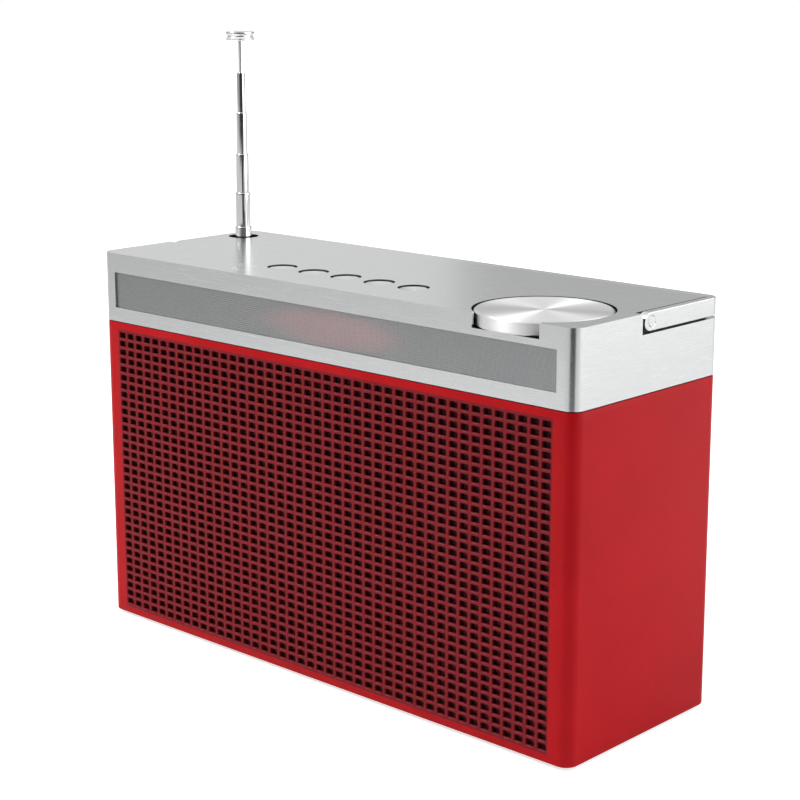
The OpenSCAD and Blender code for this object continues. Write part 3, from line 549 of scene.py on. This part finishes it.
def new_piece(name, bm, slot_name, body="root", replaces=(), material=None):
    bmesh.ops.recalc_face_normals(bm, faces=bm.faces)
    mesh = bpy.data.meshes.new(name)
    bm.to_mesh(mesh)
    bm.free()
    mesh.shade_smooth()
    mesh.set_sharp_from_angle(angle=HARD_EDGE)
    mesh.materials.append(material or finish[slot_name])
    piece = bpy.data.objects.new(name, mesh)
    scene.collection.objects.link(piece)
    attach(piece, body)
    if replaces:
        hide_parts(*replaces)
    print(name, "faces", len(mesh.polygons))
    return piece


def ring_spin(bm, profile, centre, steps):
    """Spins a closed profile of (radius, height) points once round an upright axis."""
    verts = [bm.verts.new((centre.x + r * MM, centre.y, h * MM)) for r, h in profile]
    edges = [bm.edges.new((a, b)) for a, b in zip(verts, verts[1:] + verts[:1])]
    bmesh.ops.spin(bm, geom=verts + edges, cent=(centre.x, centre.y, 0), axis=(0, 0, 1),
                   angle=math.tau, steps=steps, use_merge=True)
    bmesh.ops.remove_doubles(bm, verts=bm.verts, dist=1e-7)
    bmesh.ops.dissolve_degenerate(bm, edges=bm.edges, dist=1e-7)


# %% [markdown]
# The punched front has 44 columns and 33 rows of small rounded slots. One cell is made
# from two outlines with the gap between them filled; its slot is drawn inwards with a
# rolled lip. The cell is then repeated and welded into a sheet.

# %% Punched cell
PITCH = (6.31, 4.38)  # millimetres, as all of the punching
HOLE = (4.6, 3.0)
HOLE_CORNER = 0.5
LIP = 0.22
COLUMNS, ROWS = 44, 33
FACING_FRONT = Matrix.Rotation(math.radians(90), 4, "X")


def outline(bm, width, height, y, corner=0.0, corner_steps=2):
    """A flat rectangle outline that faces the front, in millimetres; gives its edges."""
    square = bmesh.ops.create_grid(
        bm, x_segments=1, y_segments=1, size=0.5,
        matrix=Matrix.Translation((0, y * MM, 0)) @ FACING_FRONT)["verts"]
    bmesh.ops.scale(bm, verts=square, vec=(width * MM, 1, height * MM))
    face = square[0].link_faces[0]
    if corner:
        rounded = bmesh.ops.bevel(bm, geom=square, offset=corner * MM, affect="VERTICES",
                                  segments=corner_steps, profile=0.5, material=-1)
        face = rounded["verts"][0].link_faces[0]
    edges = list(face.edges)
    bmesh.ops.delete(bm, geom=[face], context="FACES_ONLY")
    return edges


def punched_cell(bm, pitch, hole, corner, corner_steps, levels):
    """A pitch-sized tile with a slot through it. Levels are (depth, widening) pairs."""
    depth, grow = levels[0]
    loop = outline(bm, hole[0] + 2 * grow, hole[1] + 2 * grow, depth, corner + grow, corner_steps)
    first = list(loop)
    rim = outline(bm, *pitch, depth)
    bmesh.ops.triangle_fill(bm, use_beauty=True, edges=first + rim)
    for (old_depth, old_grow), (depth, grow) in zip(levels, levels[1:]):
        made = bmesh.ops.extrude_edge_only(bm, edges=loop)["geom"]
        verts = [item for item in made if isinstance(item, bmesh.types.BMVert)]
        loop = [item for item in made if isinstance(item, bmesh.types.BMEdge)]
        bmesh.ops.translate(bm, verts=verts, vec=(0, (depth - old_depth) * MM, 0))
        bmesh.ops.scale(bm, verts=verts, vec=(
            (hole[0] + 2 * grow) / (hole[0] + 2 * old_grow), 1,
            (hole[1] + 2 * grow) / (hole[1] + 2 * old_grow)))
    rim = outline(bm, *pitch, levels[-1][0])
    bmesh.ops.triangle_fill(bm, use_beauty=True, edges=loop + rim)


def repeat(bm, count, step):
    """Copies all there is so far, so that count of them stand in a centred line."""
    step = Vector(step)
    first = list(bm.verts) + list(bm.edges) + list(bm.faces)
    bmesh.ops.translate(bm, verts=bm.verts, vec=step * (-(count - 1) / 2))
    for number in range(1, count):
        copy = bmesh.ops.duplicate(bm, geom=first)["geom"]
        bmesh.ops.translate(bm, verts=[v for v in copy if isinstance(v, bmesh.types.BMVert)],
                            vec=step * number)


def punched_sheet(bm, pitch, hole, corner, corner_steps, levels, columns, rows):
    punched_cell(bm, pitch, hole, corner, corner_steps, levels)
    repeat(bm, columns, (pitch[0] * MM, 0, 0))
    repeat(bm, rows, (0, 0, pitch[1] * MM))
    bmesh.ops.remove_doubles(bm, verts=bm.verts, dist=1e-6)


# %% [markdown]
# A punched sheet is open all round the edges of its two layers. A few helpers find such
# open edges, draw them out, and turn them round a corner of the cabinet.

# %% Sheet helpers
SKIN = 1.2 * MM
CORNER_R = 6 * MM
CORNER_STEPS = 10
SAME_PLACE = 2e-6
wrap_low, wrap_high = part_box("leather_wrap")
flat_x = wrap_high.x - CORNER_R
turn_y = wrap_high.y - CORNER_R


def near(value, target):
    return abs(value - target) < SAME_PLACE


def border_edges(bm, test):
    return [e for e in bm.edges if e.is_boundary and all(test(v.co) for v in e.verts)]


def draw_out(bm, edges, move):
    """Extrudes edges and moves the new vertices by a function of their place."""
    made = bmesh.ops.extrude_edge_only(bm, edges=edges)["geom"]
    for vert in (item for item in made if isinstance(item, bmesh.types.BMVert)):
        vert.co = move(vert.co)


def turn_corner(bm, sign, y_at, here):
    """Spins the open edges that pass the test a quarter turn round a corner's axis."""
    edges = border_edges(bm, here)
    verts = list(dict.fromkeys(v for e in edges for v in e.verts))
    bmesh.ops.spin(bm, geom=verts + edges, cent=(sign * flat_x, y_at, 0), axis=(0, 0, 1),
                   angle=sign * math.radians(90), steps=CORNER_STEPS)


print("the flat front reaches", round(flat_x, 4), "m from the middle")

# %% [markdown]
# The leather skin is wrapped round the cabinet. Starting from the punched sheet, its two
# layers grow outwards to the corners, turn round them on the corner's own axis, run back
# along the sides and turn again. That is how the real skin goes on, in one piece from
# the front.

# %% Leather skin, front
field_x = COLUMNS * PITCH[0] * MM / 2
field_z = ROWS * PITCH[1] * MM / 2
skin = bmesh.new()
punched_sheet(skin, PITCH, HOLE, HOLE_CORNER, 2, [(0, LIP), (LIP, 0), (SKIN / MM, 0)],
              COLUMNS, ROWS)
bmesh.ops.translate(skin, verts=skin.verts, vec=(0, wrap_low.y, FIELD_MID_Z))
for sign, level in ((-1, wrap_low.z), (1, wrap_high.z)):
    edge_z = FIELD_MID_Z + sign * field_z
    draw_out(skin, border_edges(skin, lambda co: near(co.z, edge_z)),
             lambda co: Vector((co.x, co.y, level)))
for sign in (-1, 1):
    draw_out(skin, border_edges(skin, lambda co: near(co.x, sign * field_x)),
             lambda co: Vector((sign * flat_x, co.y, co.z)))
print("front faces", len(skin.faces))

# %% Leather skin, corners and sides
for sign in (-1, 1):
    turn_corner(skin, sign, -turn_y, lambda co: near(co.x, sign * flat_x) and co.y < -turn_y - 1e-4)
    draw_out(skin, border_edges(skin, lambda co: near(co.y, -turn_y) and co.x * sign > flat_x),
             lambda co: Vector((co.x, turn_y, co.z)))
    turn_corner(skin, sign, turn_y, lambda co: near(co.y, turn_y) and co.x * sign > flat_x + 1e-4)
print("skin so far", len(skin.faces))

# %% [markdown]
# On the back, each layer is filled between its two turned edges and the opening for the
# rear panel. The two layers are then joined round the opening and along the top and the
# bottom, so that the skin is one closed wall.

# %% Back of the skin
panel_low, panel_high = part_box("rear_panel")
PANEL_FIT, PANEL_CORNER = 0.2, 4.2
panel_mid_z = (panel_low.z + panel_high.z) / 2
panel_size = [(panel_high.x - panel_low.x) / MM + 2 * PANEL_FIT,
              (panel_high.z - panel_low.z) / MM + 2 * PANEL_FIT]
openings = []
for y_at in (wrap_high.y, wrap_high.y - SKIN):
    sides = border_edges(skin, lambda co: near(co.y, y_at) and near(abs(co.x), flat_x))
    ends = {}
    for edge in sides:
        for vert in edge.verts:
            if near(vert.co.z, wrap_low.z) or near(vert.co.z, wrap_high.z):
                ends[(vert.co.x > 0, vert.co.z > panel_mid_z)] = vert
    long_edges = [skin.edges.new((ends[(False, up)], ends[(True, up)])) for up in (False, True)]
    before = set(skin.verts)
    hole = outline(skin, *panel_size, 0, PANEL_CORNER, 4)
    fresh = [v for v in skin.verts if v not in before]
    bmesh.ops.translate(skin, verts=fresh, vec=(0, y_at, panel_mid_z))
    bmesh.ops.triangle_fill(skin, use_beauty=True, edges=sides + long_edges + hole)
    openings.append(hole)
bmesh.ops.bridge_loops(skin, edges=openings[0] + openings[1])
for level in (wrap_low.z, wrap_high.z):
    rims = border_edges(skin, lambda co: near(co.z, level))
    bmesh.ops.bridge_loops(skin, edges=rims)
print("open edges left", sum(e.is_boundary for e in skin.edges))

# %% [markdown]
# Cut leather is rolled over at its rims. The outer edges along the top and the bottom are
# those between a wall face and a rim face; they get a rounded bevel.

# %% Rolled rims
RIM_ROLL = 0.45 * MM
rim_edges = []
for edge in skin.edges:
    if len(edge.link_faces) == 2 and all(
            near(v.co.z, wrap_low.z) or near(v.co.z, wrap_high.z) for v in edge.verts):
        tilts = [abs(face.normal.z) for face in edge.link_faces]
        outer = any(abs(abs(v.co.y) - wrap_high.y) < 1e-5 or abs(v.co.x) > wrap_high.x - SKIN / 2
                    or math.hypot(abs(v.co.x) - flat_x, abs(v.co.y) - turn_y) > CORNER_R - SKIN / 2
                    for v in edge.verts)
        if outer and abs(tilts[0] - tilts[1]) > 0.5:
            rim_edges.append(edge)
bmesh.ops.bevel(skin, geom=rim_edges, offset=RIM_ROLL, affect="EDGES", segments=2,
                profile=0.5, material=-1)
new_piece("leather_skin", skin, "red_leather", replaces=["leather_wrap"])

# %% [markdown]
# The steel plate under the leather has the same slots, a little larger so that the
# leather's edge shows, and the black cloth lies behind it.

# %% Punched plate
PLATE_HOLE = (4.7, 3.1)
plate_low, plate_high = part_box("grille_plate")
plate = bmesh.new()
punched_sheet(plate, PITCH, PLATE_HOLE, HOLE_CORNER, 1,
              [(0, 0), ((plate_high.y - plate_low.y) / MM, 0)], COLUMNS, ROWS)
bmesh.ops.translate(plate, verts=plate.verts, vec=(0, plate_low.y, FIELD_MID_Z))
bmesh.ops.bridge_loops(plate, edges=[e for e in plate.edges if e.is_boundary])
new_piece("punched_plate", plate, "painted_steel", replaces=["grille_plate"])

# %% [markdown]
# Machined and pressed metal never ends in a knife edge. The housing, the handle and the
# plain parts at the back and below start from their CAD meshes: the loose triangles are
# merged, flat areas are joined up, and every hard edge gets a small rounded bevel that
# catches the light. In the normals, the large flat faces then outweigh the bevels beside
# them, so that the flats stay flat.

# %% Eased copies
JOIN_UP = math.radians(0.6)
FLATS_WEIGHT = 80


def eased_copy(name, node, slot_name, width, body="root", material=None):
    bm = bmesh.new()
    bm.from_mesh(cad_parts[node].data)
    bmesh.ops.remove_doubles(bm, verts=bm.verts, dist=2e-6)
    bmesh.ops.dissolve_limit(bm, angle_limit=JOIN_UP, verts=bm.verts, edges=bm.edges,
                             use_dissolve_boundaries=False)
    hard = [e for e in bm.edges if len(e.link_faces) == 2 and e.calc_face_angle() > HARD_EDGE]
    bmesh.ops.bevel(bm, geom=hard, offset=width * MM, offset_type="OFFSET", affect="EDGES",
                    segments=2, profile=0.5, material=-1, clamp_overlap=True)
    piece = new_piece(name, bm, slot_name, body, [node], material)
    weights = piece.modifiers.new("steady shading", "WEIGHTED_NORMAL")
    weights.mode = "FACE_AREA"
    weights.weight = FLATS_WEIGHT
    weights.keep_sharp = True
    return piece


housing = eased_copy("housing", "top_housing", "brushed_alloy", 0.22)
eased_copy("carry_handle", "handle", "brushed_alloy", 0.45, "handle")
eased_copy("pivot_heads", "handle_pins", "screw_steel", 0.12, material=pin_steel)
eased_copy("back_panel", "rear_panel", "black_plastic", 0.3)
eased_copy("battery_cover", "battery_door", "black_plastic", 0.3)
eased_copy("rubber_feet", "feet", "black_rubber", 0.4)

# %% [markdown]
# The narrow gaps round the dial, the handle, the buttons and the aerial get painted shade: their
# inside faces take a black finish, so that they read as crisp lines. Each gap is a region round its
# part, a little deeper and wider than the part itself, and ends just below the top plate.

# %% Where the gaps are
TOP_EDGE = 0.35 * MM  # the rounded edge of each opening stays bright
UNDER = 1.2 * MM  # how far a gap's floor may lie below its part
DIAL_GAP = 1.0 * MM
AERIAL_RECESS = (8.1 * MM, 9 * MM)  # radius and depth
BUTTON_HOLE = (7.6 * MM, 3.2 * MM)
HANDLE_GAP = (0.5 * MM, 4.3 * MM)  # nearest and furthest from the handle's outer side
PIVOT_GAP = 1.75 * MM
handle_low, handle_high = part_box("handle")
top_z = handle_high.z
aerial_low, aerial_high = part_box("aerial_section_1")
aerial_axis = Vector(((aerial_low.x + aerial_high.x) / 2, (aerial_low.y + aerial_high.y) / 2, 0))
button_middle = [sum(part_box(f"button_{n}"), Vector()) / 2 for n in range(1, 6)]
dial_radius = (dial_high.x - dial_low.x) / 2


def from_axis(co, axis):
    return math.hypot(co.x - axis.x, co.y - axis.y)


def in_gap(co):
    if co.z > top_z - TOP_EDGE:
        return False
    by_dial = co.z > dial_low.z - UNDER and from_axis(co, dial_axis) < dial_radius + DIAL_GAP
    by_aerial = co.z > top_z - AERIAL_RECESS[1] and from_axis(co, aerial_axis) < AERIAL_RECESS[0]
    by_button = co.z > top_z - BUTTON_HOLE[1] and any(
        from_axis(co, middle) < BUTTON_HOLE[0] for middle in button_middle)
    inwards = min(handle_high.x - abs(co.x), handle_high.y - co.y)
    by_handle = (co.z > handle_low.z - UNDER and co.y > handle_low.y - PIVOT_GAP
                 and HANDLE_GAP[0] < inwards < HANDLE_GAP[1])
    return by_dial or by_aerial or by_button or by_handle


# %% [markdown]
# A second material slot on the housing holds the black finish, and each face that lies in a gap is
# pointed at it, as painted shade. That needs no new piece and no mask in the shader.

# %% Painted shade in the gaps
housing.data.materials.append(finish["black_alloy"])
# Painted shade: the housing's faces inside the gaps get the black finish.
painted_shade_faces = [face for face in housing.data.polygons if in_gap(face.center)]
for face in painted_shade_faces:
    face.material_index = 1
print("dark gap faces", len(painted_shade_faces))

# %% [markdown]
# The display is covered by a fine metal mesh, punched the same way as the front but with
# square holes under a millimetre wide.

# %% Display mesh
mesh_low, mesh_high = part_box("display_mesh")
MESH_PITCH = 0.85
MESH_HOLE = (0.42, 0.42)
mesh_columns = int((mesh_high.x - mesh_low.x) / MM / MESH_PITCH)
mesh_rows = int((mesh_high.z - mesh_low.z) / MM / MESH_PITCH)
mesh_cell = ((mesh_high.x - mesh_low.x) / MM / mesh_columns,
             (mesh_high.z - mesh_low.z) / MM / mesh_rows)
screen = bmesh.new()
punched_sheet(screen, mesh_cell, MESH_HOLE, 0, 1,
              [(0, 0), ((mesh_high.y - mesh_low.y) / MM, 0)], mesh_columns, mesh_rows)
bmesh.ops.translate(screen, verts=screen.verts, vec=(
    (mesh_low.x + mesh_high.x) / 2, mesh_low.y, (mesh_low.z + mesh_high.z) / 2))
bmesh.ops.bridge_loops(screen, edges=[e for e in screen.edges if e.is_boundary])
new_piece("window_mesh", screen, "display_mesh", replaces=["display_mesh"])

# %% [markdown]
# The dial is turned from bar: a flat face with a bright chamfer and a rim with fine
# upright grooves for grip. The profile is spun in twice as many steps as there are
# grooves, and every other line of the rim is then pushed in.

# %% Dial
GROOVES = 150
GROOVE_DEPTH = 0.06 * MM
top, low = dial_high.z / MM, dial_low.z / MM
dial_r = dial_radius / MM
face_r = dial_r - 0.9
profile = [(0.0, top - 0.25), (face_r - 1.2, top - 0.25), (face_r - 0.7, top),
           (face_r, top), (dial_r, top - 0.7), (dial_r, low + 0.5), (dial_r - 0.5, low),
           (dial_r - 2.6, low), (dial_r - 2.6, top - 2.6), (5.5, top - 2.6), (5.5, low + 2.0),
           (3.0, low + 2.0), (3.0, top - 1.5), (0.0, top - 1.5)]
knob = bmesh.new()
ring_spin(knob, profile, dial_axis, GROOVES * 2)
rim = [vert for vert in knob.verts if from_axis(vert.co, dial_axis) > dial_radius - 0.05 * MM]
for vert in rim:
    outwards = Vector((vert.co.x - dial_axis.x, vert.co.y - dial_axis.y, 0))
    turn = round(math.atan2(outwards.y, outwards.x) / (math.pi / GROOVES))
    if turn % 2:
        vert.co -= outwards.normalized() * GROOVE_DEPTH
new_piece("turned_dial", knob, "spun_alloy", "dial", ["dial"])

# %% [markdown]
# Each button is a small dished cap. The dish is part of a large ball, the rim is rounded,
# and a tiny punch mark sits in the middle. Below the cap a wider skirt stops it from
# falling out, and a stem reaches the switch. The finish is spun round each button's
# centre.

# %% Buttons
DISH_R, DISH_DEPTH = 5.9, 0.70
CAP_H = 4.2
for number, middle in enumerate(button_middle, 1):
    node = f"button_{number}"
    low, top = (corner.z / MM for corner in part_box(node))
    axis = Vector((middle.x, middle.y, 0))
    skirt = top - CAP_H
    profile = [(0.0, top - 0.95), (0.45, top - 0.93), (0.55, top - 0.72)]
    profile += [(r, top - DISH_DEPTH * (1 - (r / DISH_R) ** 2))
                for r in (1.5, 3.0, 4.2, 5.2, DISH_R)]
    profile += [(6.6, top), (6.9, top - 0.12), (7.0, top - 0.4), (7.0, skirt + 1.5),
                (8.0, skirt + 1.5), (8.0, skirt), (2.0, skirt), (2.0, low), (0.0, low)]
    cap = bmesh.new()
    ring_spin(cap, profile, axis, 64)
    satin = spun_material(f"button_alloy_{number}", axis, 2600, 0.18, 0.28, (0.92, 0.97))
    new_piece(f"push_button_{number}", cap, "button_alloy", node, [node], satin)

# %% [markdown]
# The aerial is five tubes and a thin rod that slide in one another. Each tube's top is
# rolled in onto the next, which shows as a small step. Each is a closed profile spun
# round the aerial's axis.

# %% Aerial tubes
SLIP = 0.08  # between a tube and the next, in millimetres
tube_box = [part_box(f"aerial_section_{n}") for n in range(1, 6)] + [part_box("aerial_tip")]
radius = [(high.x - low.x) / MM / 2 for low, high in tube_box]
for number in range(5):
    low, top = tube_box[number][0].z / MM, tube_box[number][1].z / MM
    outer, bore = radius[number], radius[number + 1] + SLIP
    profile = [(bore, low), (outer, low), (outer, top - 0.9), (outer - 0.03, top - 0.5),
               (outer - 0.12, top - 0.15), ((outer + bore) / 2, top), (bore, top)]
    tube = bmesh.new()
    ring_spin(tube, profile, aerial_axis, 48)
    new_piece(f"aerial_tube_{number + 1}", tube, "chrome_tube", f"aerial_{number + 1}",
              [f"aerial_section_{number + 1}"])
low, top = tube_box[5][0].z / MM, tube_box[5][1].z / MM
rod = bmesh.new()
ring_spin(rod, [(0, low), (radius[5], low), (radius[5], top), (0, top)], aerial_axis, 32)
new_piece("aerial_rod", rod, "chrome_tube", "aerial_6", ["aerial_tip"])

# %% [markdown]
# The rod ends in a spool-shaped cap, which a finger can pull up. Its lower half is a list
# of steps in from the rim and up; the upper half is the same list, turned over.

# %% Aerial cap
cap_low, cap_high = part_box("aerial_cap")
cap_r = (cap_high.x - cap_low.x) / MM / 2
low, top = cap_low.z / MM, cap_high.z / MM
half_profile = [(0.5, 0), (0.15, 0.15), (0, 0.45), (0, 0.95), (0.2, 1.2), (0.7, 1.7)]
spool_profile = [(0, low)] + [(cap_r - inward, low + up) for inward, up in half_profile]
spool_profile += [(cap_r - 0.85, (low + top) / 2)]
spool_profile += [(cap_r - inward, top - up) for inward, up in reversed(half_profile)]
spool_profile += [(0, top)]
spool = bmesh.new()
ring_spin(spool, spool_profile, aerial_axis, 64)
new_piece("spool_cap", spool, "chrome_tube", "aerial_6", ["aerial_cap"])

# %% [markdown]
# The rear panel is held by six screws, sunk flush, with a hexagonal socket. One screw is
# a round outline with a hexagon inside it and the ring between them filled. The hexagon
# is drawn down to make the socket, and the outline to make the head and the shank.

# %% Socket screws


def socket_head(bm, place, head_r, head_h, socket_r, length, shank_r):
    """A screw whose head faces the back, with its outer face at place, in metres."""
    upright = Matrix.Translation(place) @ Matrix.Rotation(math.radians(-90), 4, "X")
    rim = bmesh.ops.create_circle(bm, cap_ends=False, segments=24, radius=head_r * MM,
                                  matrix=upright)["verts"]
    socket = bmesh.ops.create_circle(bm, cap_ends=False, segments=6, radius=socket_r * MM,
                                     matrix=upright)["verts"]
    rim_edges = list(dict.fromkeys(e for v in rim for e in v.link_edges))
    socket_edges = list(dict.fromkeys(e for v in socket for e in v.link_edges))
    bmesh.ops.triangle_fill(bm, use_beauty=True, edges=rim_edges + socket_edges)
    for edges, steps in ((socket_edges, [(head_h * 0.6, 1.0)]),
                         (rim_edges, [(head_h, 1.0), (0.0, shank_r / head_r), (length, 1.0)])):
        for depth, shrink in steps:
            made = bmesh.ops.extrude_edge_only(bm, edges=edges)["geom"]
            verts = [item for item in made if isinstance(item, bmesh.types.BMVert)]
            edges = [item for item in made if isinstance(item, bmesh.types.BMEdge)]
            bmesh.ops.translate(bm, verts=verts, vec=(0, -depth * MM, 0))
            middle = Vector((place.x, 0, place.z))
            bmesh.ops.scale(bm, verts=verts, vec=(shrink, 1, shrink),
                            space=Matrix.Translation(-middle))
        bmesh.ops.edgeloop_fill(bm, edges=edges)


screw_low, screw_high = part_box("rear_screws")
HEAD_R = 2.8
screws = bmesh.new()
for x in (screw_low.x + HEAD_R * MM, 0, screw_high.x - HEAD_R * MM):
    for z in (screw_low.z + HEAD_R * MM, screw_high.z - HEAD_R * MM):
        socket_head(screws, Vector((x, screw_high.y, z)), HEAD_R, head_h=2.2,
                    socket_r=1.3, length=6.8, shank_r=1.5)
new_piece("panel_screws", screws, "screw_steel", replaces=["rear_screws"])

# %% [markdown]
# The floor is a wide pale sheet under the feet, a little brighter to the camera than it
# is lit, so that it runs into the tent without a line. It isn't part of the object.

# %% Floor
FLOOR_REACH = 6
FLOOR_GLOW = 0.7
floor_mesh = bmesh.new()
bmesh.ops.create_grid(floor_mesh, x_segments=1, y_segments=1, size=FLOOR_REACH)
floor_data = bpy.data.meshes.new("floor")
floor_mesh.to_mesh(floor_data)
floor_mesh.free()
paper, tree, shader = start_material("floor_paper", Roughness=0.9)
fleck = place_group(tree, mottle, Fine_Scale=500.0, Broad_Scale=2.0)
tint(tree, shader, fleck.outputs["Broad"], (0.74, 0.74, 0.74), (0.76, 0.76, 0.76))
shader.inputs["Emission Color"].default_value = (1, 1, 1, 1)
seen = add(tree, "ShaderNodeLightPath")
lift = add(tree, "ShaderNodeMath", [(0, seen.outputs["Is Camera Ray"])], operation="MULTIPLY")
lift.inputs[1].default_value = FLOOR_GLOW
tree.links.new(lift.outputs["Value"], shader.inputs["Emission Strength"])
floor_data.materials.append(paper)
floor = bpy.data.objects.new("floor", floor_data)
scene.collection.objects.link(floor)
print("floor", 2 * FLOOR_REACH, "m across")

# %% [markdown]
# A black card stands low in front of the camera, where polished corners and the chrome
# mirror it as a dark line. The camera looks through it, and it casts no shadow.

# %% Black card
CARD_AWAY, CARD_SIZE, CARD_MID_Z = 0.55, (0.34, 0.34), 0.19
card_mesh = bmesh.new()
bmesh.ops.create_grid(card_mesh, x_segments=1, y_segments=1, size=0.5)
bmesh.ops.scale(card_mesh, verts=card_mesh.verts, vec=(*CARD_SIZE, 1))
card_place = Matrix.Translation(TO_CAMERA * CARD_AWAY + Vector((0, 0, CARD_MID_Z)))
card_turn = Matrix.Rotation(CAMERA_TURN, 4, "Z") @ FACING_FRONT
bmesh.ops.transform(card_mesh, matrix=card_place @ card_turn, verts=card_mesh.verts)
card_data = bpy.data.meshes.new("black_card")
card_mesh.to_mesh(card_data)
card_mesh.free()
card_data.materials.append(finish["black_rubber"])
card = bpy.data.objects.new("black_card", card_data)
card.visible_camera = False
card.visible_shadow = False
scene.collection.objects.link(card)
print("card", CARD_SIZE, "at", tuple(round(c, 3) for c in card_place.translation))
